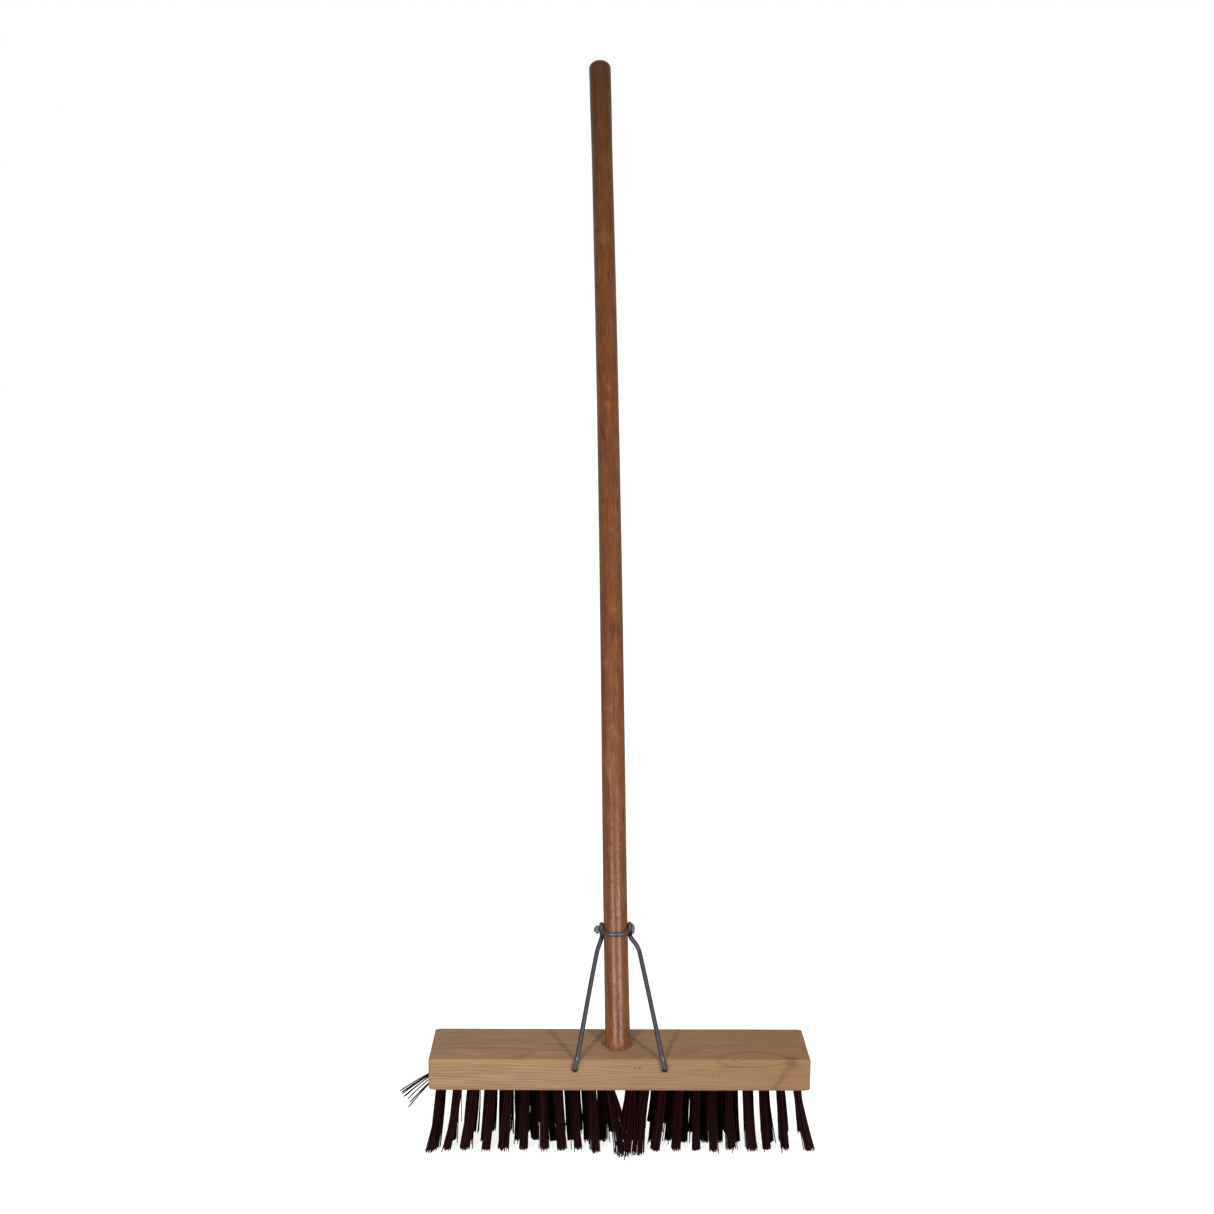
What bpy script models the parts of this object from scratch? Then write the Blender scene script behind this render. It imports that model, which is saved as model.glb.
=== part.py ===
"""Push broom with a straight pine block, a round varnished handle and a bent wire stay.

The block lies along X. The stay's feet go into its front face, which looks towards -Y. The handle
leans back towards +Y. The tips of the bristles lie at Z = 0.
"""

from math import cos, pi, radians, sin

import bmesh
import bpy
from mathutils import Matrix, Vector

MM = 0.001

# Touching pieces keep this gap between them.
GAP = 0.3 * MM

# Block: a planed pine batten with eased edges.
BLOCK_LENGTH = 380 * MM
BLOCK_DEPTH = 70 * MM
BLOCK_HEIGHT = 33 * MM
BLOCK_EDGE = 1.6 * MM

# Bristles: four rows of tufts, each tuft in its own blind hole.
BRISTLE_LENGTH = 70 * MM
TUFT_PITCH = 16.4 * MM
TUFT_ROOT_RADIUS = 3.7 * MM
TUFT_TIP_RADIUS = 5.0 * MM
CLUMP_TIP_RADIUS = 8.3 * MM
CLUMP_TIP_PITCH = 15.4 * MM
TUFT_HOLE_DEPTH = 11 * MM
TUFT_SIDES = 10
FIRST_TUFT_X = 12 * MM
FAN_AT_CENTRE = -6 * MM
FAN_AT_END = 10 * MM
FAN_GROWTH = 1.2

# From here outwards a row's holes are drilled closer together or further apart.
DRIFT_START = 80 * MM
DRIFT_REACH = 96 * MM
DRIFT_GROWTH = 1.5

# Each row: name, place and lean across the block, whether it starts half a pitch further out,
# how far its outermost holes have drifted outwards, and the sizes of its clumps on one side of the middle.
# A clump of one is a separate tuft.
ROWS = (
    ("front_tuft", -1.5, -3.0 * MM, False, 0.0, [1] * 11),
    ("mid_front_clump", -0.5, -1.5 * MM, True, -6.0 * MM, [5, 5]),
    ("mid_rear_clump", 0.5, 1.5 * MM, False, 4.5 * MM, [4, 4, 3]),
    ("rear_tuft", 1.5, 3.0 * MM, True, -3.5 * MM, [1] * 10),
)

# The outermost tuft of the rear row on the left has splayed out sideways.
SPLAYED_TUFT = "rear_tuft_01"
SPLAY_LENGTH = 69.5 * MM
SPLAY_ANGLE = radians(54)
SPLAY_ROOT_RADIUS = 3.3 * MM
SPLAY_TIP_RADIUS = 8.5 * MM

# Handle: a round stick in an inclined blind bore.
HANDLE_RADIUS = 12 * MM
HANDLE_LENGTH = 1171 * MM
HANDLE_SEAT = 24 * MM
HANDLE_X = -1.5 * MM
HANDLE_TILT = radians(25)
HANDLE_SIDE_LEAN = radians(1.25)
DOME_HEIGHT = 8 * MM
DOME_STEPS = 8

# Clamp bolt, M5, through the handle and both eyes of the stay.
CLAMP_HEIGHT = 114 * MM
BOLT_RADIUS = 2.5 * MM
BOLT_HEAD_RADIUS = 5.75 * MM
BOLT_HEAD_HEIGHT = 2.7 * MM
BOLT_THREAD_END = 22.7 * MM
BOLT_END_CHAMFER = 0.5 * MM
NUT_ACROSS_FLATS = 8 * MM
NUT_HEIGHT = 3.8 * MM
NUT_TURN = radians(12)

# Stay: one galvanised wire.
WIRE_RADIUS = 2.2 * MM
EYE_RADIUS = 5.2 * MM
EYE_START = radians(-14.7)
EYE_STEPS = 12
SADDLE_DROP = 6.2 * MM
SADDLE_DROP_AT_SIDE = 3.1 * MM
SADDLE_FALL_SHARE = 0.625
SADDLE_START = radians(68)
SADDLE_STEPS = 5
FOOT_X = 44.5 * MM
FOOT_BELOW_TOP = 10.5 * MM
FOOT_DEPTH = 11 * MM
FOOT_BEND_STEPS = 4
FOOT_BEND = 3.2 * MM
WIRE_TO_FACE = 2.8 * MM

# Where each leg passes the block's top edge: inwards from the foot, backwards and up from the edge.
LEG_AT_EDGE = (
    (1.6 * MM, 0.0, -0.6 * MM),
    (2.0 * MM, 0.6 * MM, 1.4 * MM),
    (2.5 * MM, 2.0 * MM, 3.4 * MM),
)

# Where each leg kinks below its eye, measured from the bolt's middle in the handle's frame.
LEFT_KINK = (
    (-19.8 * MM, -1.1 * MM, -23.0 * MM),
    (-15.6 * MM, 3.6 * MM, -7.0 * MM),
)
RIGHT_KINK = (
    (24.2 * MM, -1.2 * MM, -24.0 * MM),
    (21.5 * MM, 0.5 * MM, -17.0 * MM),
    (15.2 * MM, 3.6 * MM, -7.6 * MM),
)

# Nail through the back of the block into the seated end of the handle.
NAIL_RADIUS = 1.25 * MM
NAIL_LENGTH = 50 * MM
NAIL_HEAD_RADIUS = 3.0 * MM
NAIL_HEAD_HEIGHT = 1.2 * MM
NAIL_POINT = 3 * MM
NAIL_BELOW_TOP = 16 * MM
NAIL_SUNK = 0.5 * MM

ROUND_SIDES = 32
SMALL_SIDES = 16
CUT_OVERRUN = 2 * MM

BLOCK_BOTTOM = BRISTLE_LENGTH
BLOCK_TOP = BRISTLE_LENGTH + BLOCK_HEIGHT
FRONT_Y = -BLOCK_DEPTH / 2
BACK_Y = BLOCK_DEPTH / 2
NAIL_Z = BLOCK_TOP - NAIL_BELOW_TOP
EYE_X = HANDLE_RADIUS + GAP + WIRE_RADIUS
OUTSIDE_EYE = EYE_X + WIRE_RADIUS + GAP


# ---------------------------------------------------------------- scene helpers

def clear_scene():
    """Remove every object and collection that the scene starts with."""
    for item in list(bpy.data.objects):
        bpy.data.objects.remove(item, do_unlink=True)
    for group in list(bpy.data.collections):
        bpy.data.collections.remove(group)


def make_collection(name, hidden=False):
    """Add a collection to the scene. A hidden one holds cutters."""
    group = bpy.data.collections.new(name)
    bpy.context.scene.collection.children.link(group)
    group.hide_render = hidden
    return group


def make_material(name, colour, roughness, metallic=0.0):
    """Make a Principled material."""
    material = bpy.data.materials.new(name)
    material.use_nodes = True
    shader = material.node_tree.nodes["Principled BSDF"]
    shader.inputs["Base Color"].default_value = (*colour, 1.0)
    shader.inputs["Roughness"].default_value = roughness
    shader.inputs["Metallic"].default_value = metallic
    material.diffuse_color = (*colour, 1.0)
    return material


def add_object(name, data, group, parent, material=None):
    """Link a mesh or a curve as a named object under its parent."""
    item = bpy.data.objects.new(name, data)
    group.objects.link(item)
    item.parent = parent
    if material is not None:
        data.materials.append(material)
    return item


def finish_mesh(bm, name, smooth_angle=radians(40)):
    """Turn a bmesh into mesh data with outward normals and smooth round sides."""
    bmesh.ops.recalc_face_normals(bm, faces=bm.faces)
    data = bpy.data.meshes.new(name)
    bm.to_mesh(data)
    bm.free()
    data.shade_smooth()
    data.set_sharp_from_angle(angle=smooth_angle)
    return data


def add_rod(bm, radius, start, end, sides, end_radius=None):
    """Add a closed rod, or a cone, from one point to another."""
    axis = end - start
    turn = axis.to_track_quat("Z", "Y").to_matrix().to_4x4()
    middle = Matrix.Translation((start + end) / 2)
    bmesh.ops.create_cone(
        bm,
        cap_ends=True,
        segments=sides,
        radius1=radius,
        radius2=radius if end_radius is None else end_radius,
        depth=axis.length,
        matrix=middle @ turn,
    )


def cut(item, cutter, operation="DIFFERENCE"):
    """Add an exact Boolean to an object."""
    modifier = item.modifiers.new(cutter.name, "BOOLEAN")
    modifier.operation = operation
    modifier.solver = "EXACT"
    modifier.object = cutter
    cutter.display_type = "WIRE"
    cutter.hide_render = True


# ---------------------------------------------------------------- handle frame

def handle_matrix():
    """Place the handle's own frame: Z runs up the handle, X across it, zero at the block's top."""
    turn = Matrix.Rotation(-HANDLE_SIDE_LEAN, 4, "Y") @ Matrix.Rotation(-HANDLE_TILT, 4, "X")
    return Matrix.Translation((HANDLE_X, 0, BLOCK_TOP)) @ turn


def at_clamp(x, y, z):
    """Give a point by its place round the clamp bolt's middle, in the handle's frame."""
    return handle_matrix() @ Vector((x, y, CLAMP_HEIGHT + z))


# ---------------------------------------------------------------- tufts

def fan(x):
    """Say how far a tuft at x leans along the block: inwards at the middle, outwards at the ends."""
    reach = (abs(x) - FIRST_TUFT_X) / (BLOCK_LENGTH / 2 - FIRST_TUFT_X)
    lean = FAN_AT_CENTRE + (FAN_AT_END - FAN_AT_CENTRE) * max(reach, 0) ** FAN_GROWTH
    return lean if x > 0 else -lean


def row_places(staggered, drift, clumps):
    """List one row's clumps from left to right, each a list of its tufts' x places."""
    start = FIRST_TUFT_X + (TUFT_PITCH / 2 if staggered else 0)
    right = []
    count = 0
    for size in clumps:
        places = []
        for i in range(count, count + size):
            x = start + TUFT_PITCH * i
            places.append(x + drift * (max(0, x - DRIFT_START) / DRIFT_REACH) ** DRIFT_GROWTH)
        right.append(places)
        count += size
    left = [[-x for x in reversed(places)] for places in reversed(right)]
    return left + right


def tuft_tips(places):
    """Say where along the block each tuft of a clump has its tip."""
    if len(places) == 1:
        return [places[0] + fan(places[0])]
    middle = sum(places) / len(places)
    half = CLUMP_TIP_PITCH * (len(places) - 1) / 2
    limit = BLOCK_LENGTH / 2 - CLUMP_TIP_RADIUS - half
    middle = max(-limit, min(limit, middle + fan(middle)))
    return [middle - half + CLUMP_TIP_PITCH * i for i in range(len(places))]


def tuft_data(name, lean_x, lean_y, tip_radius):
    """Model one tuft: a straight plug for its hole and a flared, leaning cone down to the floor."""
    bm = bmesh.new()
    tip = Vector((0, 0, -BRISTLE_LENGTH))
    add_rod(bm, TUFT_ROOT_RADIUS, Vector(), tip, TUFT_SIDES, tip_radius)
    for vert in bm.verts:
        drop = -vert.co.z / BRISTLE_LENGTH
        vert.co.x += lean_x * drop
        vert.co.y += lean_y * drop
    root = max(bm.faces, key=lambda face: face.calc_center_median().z)
    plug = bmesh.ops.extrude_discrete_faces(bm, faces=[root])["faces"]
    bmesh.ops.translate(bm, verts=plug[0].verts, vec=(0, 0, TUFT_HOLE_DEPTH - GAP))
    return finish_mesh(bm, name)


def add_clump(name, places, y, lean_y, groups, parent, material):
    """Add one node: a tuft, or several tufts whose splayed ends have grown together."""
    tip_radius = TUFT_TIP_RADIUS if len(places) == 1 else CLUMP_TIP_RADIUS
    first = None
    for number, (x, tip) in enumerate(zip(places, tuft_tips(places))):
        label = name if first is None else f"{name}_part_{number + 1}"
        group = groups["broom"] if first is None else groups["cutters"]
        data = tuft_data(label, tip - x, lean_y, tip_radius)
        tuft = add_object(label, data, group, parent, material)
        tuft.location = (x, y, BLOCK_BOTTOM)
        if first is None:
            first = tuft
        else:
            cut(first, tuft, "UNION")
    return first


def add_splay(tuft, groups, parent, material):
    """Join the strands that have splayed out sideways to their tuft."""
    bm = bmesh.new()
    root = Vector((0, 0, -TUFT_ROOT_RADIUS))
    reach = Vector((-sin(SPLAY_ANGLE), 0, -cos(SPLAY_ANGLE))) * SPLAY_LENGTH
    add_rod(bm, SPLAY_ROOT_RADIUS, root, root + reach, TUFT_SIDES, SPLAY_TIP_RADIUS)
    data = finish_mesh(bm, "splayed_strands")
    splay = add_object("splayed_strands", data, groups["cutters"], parent, material)
    splay.location = tuft.location
    cut(tuft, splay, "UNION")


def add_tufts(groups, parent, material):
    """Add all four rows of tufts."""
    for name, row, lean_y, staggered, drift, clumps in ROWS:
        for number, places in enumerate(row_places(staggered, drift, clumps)):
            label = f"{name}_{number + 1:02d}"
            tuft = add_clump(label, places, row * TUFT_PITCH, lean_y, groups, parent, material)
            if label == SPLAYED_TUFT:
                add_splay(tuft, groups, parent, material)


# ---------------------------------------------------------------- block

def block_cutter():
    """Model everything that is drilled out of the block except the handle's bore."""
    bm = bmesh.new()
    for _, row, _, staggered, drift, clumps in ROWS:
        for places in row_places(staggered, drift, clumps):
            for x in places:
                top = Vector((x, row * TUFT_PITCH, BLOCK_BOTTOM + TUFT_HOLE_DEPTH))
                low = Vector((x, row * TUFT_PITCH, BLOCK_BOTTOM - CUT_OVERRUN))
                add_rod(bm, TUFT_ROOT_RADIUS + GAP, low, top, TUFT_SIDES)
    for side in (-1, 1):
        mouth = Vector((side * FOOT_X, FRONT_Y - CUT_OVERRUN, BLOCK_TOP - FOOT_BELOW_TOP))
        end = Vector((side * FOOT_X, FRONT_Y + FOOT_DEPTH + GAP, BLOCK_TOP - FOOT_BELOW_TOP))
        add_rod(bm, WIRE_RADIUS + GAP, mouth, end, SMALL_SIDES)
    return finish_mesh(bm, "block_holes")


def bore_cutter():
    """Model the inclined blind bore for the handle."""
    bm = bmesh.new()
    low = Vector((0, 0, -HANDLE_SEAT - GAP))
    high = Vector((0, 0, HANDLE_SEAT))
    add_rod(bm, HANDLE_RADIUS + GAP, low, high, ROUND_SIDES)
    return finish_mesh(bm, "handle_bore")


def nail_seat_cutter():
    """Model the hole that the nail leaves in the block and in the handle, with a pocket for its head."""
    bm = bmesh.new()
    mouth = Vector((HANDLE_X, BACK_Y + CUT_OVERRUN, NAIL_Z))
    shoulder = Vector((HANDLE_X, BACK_Y - NAIL_SUNK - NAIL_HEAD_HEIGHT - GAP, NAIL_Z))
    end = Vector((HANDLE_X, BACK_Y - NAIL_SUNK - NAIL_LENGTH - GAP, NAIL_Z))
    add_rod(bm, NAIL_RADIUS + GAP, mouth, end, SMALL_SIDES)
    seat = finish_mesh(bm, "nail_hole")
    bm = bmesh.new()
    add_rod(bm, NAIL_HEAD_RADIUS + GAP, mouth, shoulder, SMALL_SIDES)
    pocket = finish_mesh(bm, "nail_head_pocket")
    return seat, pocket


def add_block(groups, parent, frame, material):
    """Add the block with its holes."""
    bm = bmesh.new()
    size = Matrix.Diagonal((BLOCK_LENGTH, BLOCK_DEPTH, BLOCK_HEIGHT, 1))
    place = Matrix.Translation((0, 0, BLOCK_BOTTOM + BLOCK_HEIGHT / 2))
    bmesh.ops.create_cube(bm, size=1, matrix=place @ size)
    block = add_object("block", finish_mesh(bm, "block"), groups["broom"], parent, material)
    edges = block.modifiers.new("eased_edges", "BEVEL")
    edges.width = BLOCK_EDGE
    edges.segments = 3
    cut(block, add_object("block_holes", block_cutter(), groups["cutters"], parent))
    cut(block, add_object("handle_bore", bore_cutter(), groups["cutters"], frame))
    seat, pocket = nail_seat_cutter()
    cut(block, add_object("nail_hole", seat, groups["cutters"], parent))
    cut(block, add_object("nail_head_pocket", pocket, groups["cutters"], parent))
    return block


# ---------------------------------------------------------------- handle

def turned(name, profile, group, parent, material, sides):
    """Turn a profile round Z. The profile runs down its outer side, from top to bottom."""
    data = bpy.data.meshes.new(name)
    edges = [(i, i + 1) for i in range(len(profile) - 1)]
    data.from_pydata([(radius, 0, height) for radius, height in profile], edges, [])
    item = add_object(name, data, group, parent, material)
    screw = item.modifiers.new("turned", "SCREW")
    screw.steps = sides
    screw.render_steps = sides
    screw.use_merge_vertices = True
    screw.merge_threshold = 0.02 * MM
    return item


def add_handle(groups, frame, material):
    """Add the stick with its domed end, bolt hole and nail hole."""
    top = HANDLE_LENGTH - HANDLE_SEAT
    profile = []
    for step in range(DOME_STEPS + 1):
        angle = pi / 2 * step / DOME_STEPS
        profile.append((HANDLE_RADIUS * sin(angle), top - DOME_HEIGHT * (1 - cos(angle))))
    profile += [(HANDLE_RADIUS, -HANDLE_SEAT), (0, -HANDLE_SEAT)]
    handle = turned("handle", profile, groups["broom"], frame, material, ROUND_SIDES)
    bm = bmesh.new()
    side = Vector((HANDLE_RADIUS + CUT_OVERRUN, 0, 0))
    height = Vector((0, 0, CLAMP_HEIGHT))
    add_rod(bm, BOLT_RADIUS + GAP, height - side, height + side, SMALL_SIDES)
    cut(handle, add_object("bolt_hole", finish_mesh(bm, "bolt_hole"), groups["cutters"], frame))
    cut(handle, bpy.data.objects["nail_hole"])
    return handle


# ---------------------------------------------------------------- stay

def eye_points(side):
    """List the eye's points on one side: up behind the bolt, over it and down in front of it."""
    points = []
    for step in range(EYE_STEPS + 1):
        angle = EYE_START + (pi - EYE_START) * step / EYE_STEPS
        points.append(at_clamp(side * EYE_X, EYE_RADIUS * cos(angle), EYE_RADIUS * sin(angle)))
    return points


def saddle_points(side):
    """List the points from one eye, round the front of the handle, up to the middle."""
    points = []
    for step in range(SADDLE_STEPS):
        share = step / SADDLE_STEPS
        angle = SADDLE_START * (1 - share)
        fall = sin(pi / 2 * min(1, share / SADDLE_FALL_SHARE))
        drop = SADDLE_DROP_AT_SIDE + (SADDLE_DROP - SADDLE_DROP_AT_SIDE) * fall
        points.append(at_clamp(side * EYE_X * sin(angle), -EYE_X * cos(angle), -drop))
    return points


def leg_points(side, kink):
    """List one leg's points from its foot in the block up to its kink below the eye."""
    x = side * FOOT_X
    y = FRONT_Y - WIRE_TO_FACE
    foot_z = BLOCK_TOP - FOOT_BELOW_TOP
    points = [Vector((x, FRONT_Y + FOOT_DEPTH, foot_z))]
    for step in range(FOOT_BEND_STEPS + 1):
        angle = pi / 2 * step / FOOT_BEND_STEPS
        points.append(Vector((x, y + FOOT_BEND * (1 - sin(angle)), foot_z + FOOT_BEND * (1 - cos(angle)))))
    for inward, back, rise in LEG_AT_EDGE:
        points.append(Vector((x - side * inward, y + back, BLOCK_TOP + rise)))
    for place in kink:
        points.append(at_clamp(*place))
    return points


def stay_points():
    """List the whole wire from the left foot to the right foot."""
    left = leg_points(-1, LEFT_KINK) + eye_points(-1) + saddle_points(-1)
    right = leg_points(1, RIGHT_KINK) + eye_points(1) + saddle_points(1)
    middle = at_clamp(0, -EYE_X, -SADDLE_DROP)
    return left + [middle] + list(reversed(right))


def add_stay(groups, parent, material):
    """Add the bent wire."""
    data = bpy.data.curves.new("stay_wire", "CURVE")
    data.dimensions = "3D"
    data.bevel_depth = WIRE_RADIUS
    data.bevel_resolution = 2
    data.use_fill_caps = True
    data.render_resolution_u = 0
    places = stay_points()
    spline = data.splines.new("POLY")
    spline.points.add(len(places) - 1)
    for point, place in zip(spline.points, places):
        point.co = (*place, 1)
    spline.use_smooth = True
    return add_object("stay_wire", data, groups["broom"], parent, material)


# ---------------------------------------------------------------- fasteners

def add_bolt(groups, frame, material):
    """Add the clamp bolt, with its low round head on the right."""
    profile = []
    for step in range(DOME_STEPS + 1):
        angle = pi / 2 * step / DOME_STEPS
        rise = BOLT_HEAD_HEIGHT * cos(angle)
        profile.append((BOLT_HEAD_RADIUS * sin(angle), OUTSIDE_EYE + rise))
    end_flat = BOLT_RADIUS - BOLT_END_CHAMFER
    profile += [
        (BOLT_RADIUS, OUTSIDE_EYE),
        (BOLT_RADIUS, -BOLT_THREAD_END + BOLT_END_CHAMFER),
        (end_flat, -BOLT_THREAD_END),
        (0, -BOLT_THREAD_END),
    ]
    bolt = turned("clamp_bolt", profile, groups["broom"], frame, material, SMALL_SIDES)
    bolt.location = (0, 0, CLAMP_HEIGHT)
    bolt.rotation_euler = (0, pi / 2, 0)
    return bolt


def add_nut(groups, frame, material):
    """Add the hex nut on the left end of the bolt."""
    bm = bmesh.new()
    radius = NUT_ACROSS_FLATS / 2 / cos(pi / 6)
    start = Vector((-OUTSIDE_EYE, 0, 0))
    end = Vector((-OUTSIDE_EYE - NUT_HEIGHT, 0, 0))
    add_rod(bm, radius, start, end, 6)
    nut = add_object("clamp_nut", finish_mesh(bm, "clamp_nut"), groups["broom"], frame, material)
    nut.location = (0, 0, CLAMP_HEIGHT)
    nut.rotation_euler = (NUT_TURN, 0, 0)
    chamfer = nut.modifiers.new("chamfer", "BEVEL")
    chamfer.width = 0.4 * MM
    chamfer.segments = 1
    bm = bmesh.new()
    reach = Vector((OUTSIDE_EYE + NUT_HEIGHT + CUT_OVERRUN, 0, 0))
    add_rod(bm, BOLT_RADIUS + GAP / 2, -reach, Vector((-EYE_X, 0, 0)), SMALL_SIDES)
    thread = add_object("nut_thread", finish_mesh(bm, "nut_thread"), groups["cutters"], frame)
    thread.location = (0, 0, CLAMP_HEIGHT)
    cut(nut, thread)
    return nut


def add_nail(groups, parent, material):
    """Add the nail that pins the handle in its bore."""
    profile = [
        (0, 0),
        (NAIL_HEAD_RADIUS, 0),
        (NAIL_HEAD_RADIUS, -NAIL_HEAD_HEIGHT * 0.5),
        (NAIL_RADIUS, -NAIL_HEAD_HEIGHT),
        (NAIL_RADIUS, -NAIL_LENGTH + NAIL_POINT),
        (0, -NAIL_LENGTH),
    ]
    nail = turned("handle_nail", profile, groups["broom"], parent, material, SMALL_SIDES)
    nail.location = (HANDLE_X, BACK_Y - NAIL_SUNK, NAIL_Z)
    nail.rotation_euler = (-pi / 2, 0, 0)
    return nail


# ---------------------------------------------------------------- assembly

def centre_on_floor(root, group):
    """Move the broom so that its box is centred on the origin, with its base at Z = 0."""
    bpy.context.view_layer.update()
    graph = bpy.context.evaluated_depsgraph_get()
    corners = []
    for item in group.objects:
        if item.type == "EMPTY":
            continue
        shown = item.evaluated_get(graph)
        data = shown.to_mesh()
        corners += [shown.matrix_world @ vert.co for vert in data.vertices]
        shown.to_mesh_clear()
    low = [min(corner[i] for corner in corners) for i in range(3)]
    high = [max(corner[i] for corner in corners) for i in range(3)]
    root.location = (-(low[0] + high[0]) / 2, -(low[1] + high[1]) / 2, -low[2])


def main():
    """Build the whole broom."""
    clear_scene()
    groups = {"broom": make_collection("push_broom"), "cutters": make_collection("cutters", hidden=True)}
    pine = make_material("pine_block", (0.56, 0.34, 0.18), 0.65)
    varnish = make_material("varnished_handle", (0.34, 0.13, 0.045), 0.28)
    zinc = make_material("galvanised_wire", (0.30, 0.28, 0.31), 0.42, 0.9)
    plated = make_material("plated_steel", (0.38, 0.37, 0.38), 0.35, 0.9)
    bristle = make_material("dark_bristle", (0.025, 0.008, 0.010), 0.45)

    root = add_object("push_broom_root", None, groups["broom"], None)
    frame = add_object("handle_frame", None, groups["broom"], root)
    frame.matrix_local = handle_matrix()

    add_block(groups, root, frame, pine)
    add_handle(groups, frame, varnish)
    add_stay(groups, root, zinc)
    add_bolt(groups, frame, plated)
    add_nut(groups, frame, plated)
    add_nail(groups, root, plated)
    add_tufts(groups, root, bristle)
    centre_on_floor(root, groups["broom"])


main()
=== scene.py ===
"""Push broom: pine block, varnished handle, bent wire stay and tufts of stiff dark strands."""

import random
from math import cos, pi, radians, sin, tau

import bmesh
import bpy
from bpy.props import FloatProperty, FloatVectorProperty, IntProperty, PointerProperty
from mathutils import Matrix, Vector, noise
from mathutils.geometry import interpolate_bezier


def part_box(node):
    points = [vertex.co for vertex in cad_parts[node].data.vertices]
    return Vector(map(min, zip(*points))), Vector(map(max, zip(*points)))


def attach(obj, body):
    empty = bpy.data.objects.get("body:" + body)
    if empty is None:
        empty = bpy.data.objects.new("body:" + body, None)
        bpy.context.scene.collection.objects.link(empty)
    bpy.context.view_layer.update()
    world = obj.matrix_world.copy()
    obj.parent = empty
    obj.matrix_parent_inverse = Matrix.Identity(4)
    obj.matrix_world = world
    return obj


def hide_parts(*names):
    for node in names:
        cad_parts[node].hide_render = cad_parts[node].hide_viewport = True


bl_info = {
    "name": "Push Broom",
    "version": (1, 0, 0),
    "blender": (4, 5, 0),
    "location": "3D View > Sidebar > Push Broom",
    "description": "Builds a push broom round its measured frame, with a plain studio",
    "category": "Object",
}

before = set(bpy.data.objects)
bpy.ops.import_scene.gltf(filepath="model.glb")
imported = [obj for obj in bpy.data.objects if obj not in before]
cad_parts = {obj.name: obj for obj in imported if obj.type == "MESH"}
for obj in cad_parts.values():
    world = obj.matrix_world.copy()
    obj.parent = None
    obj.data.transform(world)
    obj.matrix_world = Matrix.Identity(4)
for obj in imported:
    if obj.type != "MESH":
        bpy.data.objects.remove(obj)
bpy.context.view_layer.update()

MM = 0.001
GAP = 0.3 * MM

BLOCK_LOW, BLOCK_HIGH = (Vector(corner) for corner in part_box("block"))
BLOCK_MIDDLE = (BLOCK_LOW + BLOCK_HIGH) / 2
BLOCK_HALF = (BLOCK_HIGH - BLOCK_LOW) / 2

# The holes for the tufts. Tufts lean inwards by the middle of the block and outwards by its ends,
# and the outer holes of a row have drifted from their even pitch.
TUFT_PITCH = 16.4 * MM
TUFT_HOLE_RADIUS = 4.0 * MM
TUFT_HOLE_DEPTH = 11 * MM
FIRST_TUFT_X = 12 * MM
FAN_AT_CENTRE = -6 * MM
FAN_AT_END = 10 * MM
FAN_GROWTH = 1.2
DRIFT_START = 80 * MM
DRIFT_REACH = 96 * MM
DRIFT_GROWTH = 1.5

# Each row: name, place across the block in pitches, lean across the block, whether it starts half a pitch
# further out, drift of its outermost hole, and the number of tufts in each clump on one side of the middle.
ROWS = (
    ("front_tuft", -1.5, -3.0 * MM, False, 0.0, [1] * 11),
    ("mid_front_clump", -0.5, -1.5 * MM, True, -6.0 * MM, [5, 5]),
    ("mid_rear_clump", 0.5, 1.5 * MM, False, 4.5 * MM, [4, 4, 3]),
    ("rear_tuft", 1.5, 3.0 * MM, True, -3.5 * MM, [1] * 10),
)
SPLAYED_TUFT = "rear_tuft_01"

# The handle, the clamp, the stay's feet and the nail.
HANDLE_X = -1.5 * MM
HANDLE_RADIUS = 12 * MM
HANDLE_TILT = radians(25)
HANDLE_SIDE_LEAN = radians(1.25)
HANDLE_LENGTH = 1171 * MM
HANDLE_SEAT = 24 * MM
CLAMP_HEIGHT = 114 * MM
EYE_RADIUS = 5.2 * MM
FOOT_X = 44.5 * MM
FOOT_BELOW_TOP = 10.5 * MM
FOOT_DEPTH = 11 * MM
WIRE_TO_FACE = 2.8 * MM
NAIL_BELOW_TOP = 16 * MM

# Radii of the drilled holes. Each drill starts a little outside the wood.
FOOT_HOLE_RADIUS = 2.9 * MM
NAIL_HOLE_RADIUS = 3.4 * MM
HANDLE_BORE_RADIUS = 12.8 * MM
BOLT_HOLE_RADIUS = 2.8 * MM
DRILL_START = 2 * MM

# Where each leg passes the block's top edge: inwards from the foot, backwards and up from the edge.
LEG_AT_EDGE = (
    (1.6 * MM, 0.0, -0.6 * MM),
    (2.0 * MM, 0.6 * MM, 1.4 * MM),
    (2.5 * MM, 2.0 * MM, 3.4 * MM),
)

# Where each leg kinks below its eye, measured from the bolt's middle in the handle's frame.
LEFT_KINK = (
    (-19.8 * MM, -1.1 * MM, -23.0 * MM),
    (-14.5 * MM, 3.6 * MM, -7.5 * MM),
)
RIGHT_KINK = (
    (24.2 * MM, -1.2 * MM, -24.0 * MM),
    (21.5 * MM, 0.5 * MM, -17.0 * MM),
    (15.2 * MM, 3.6 * MM, -7.6 * MM),
)


# ---------------------------------------------------------------- settings

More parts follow.
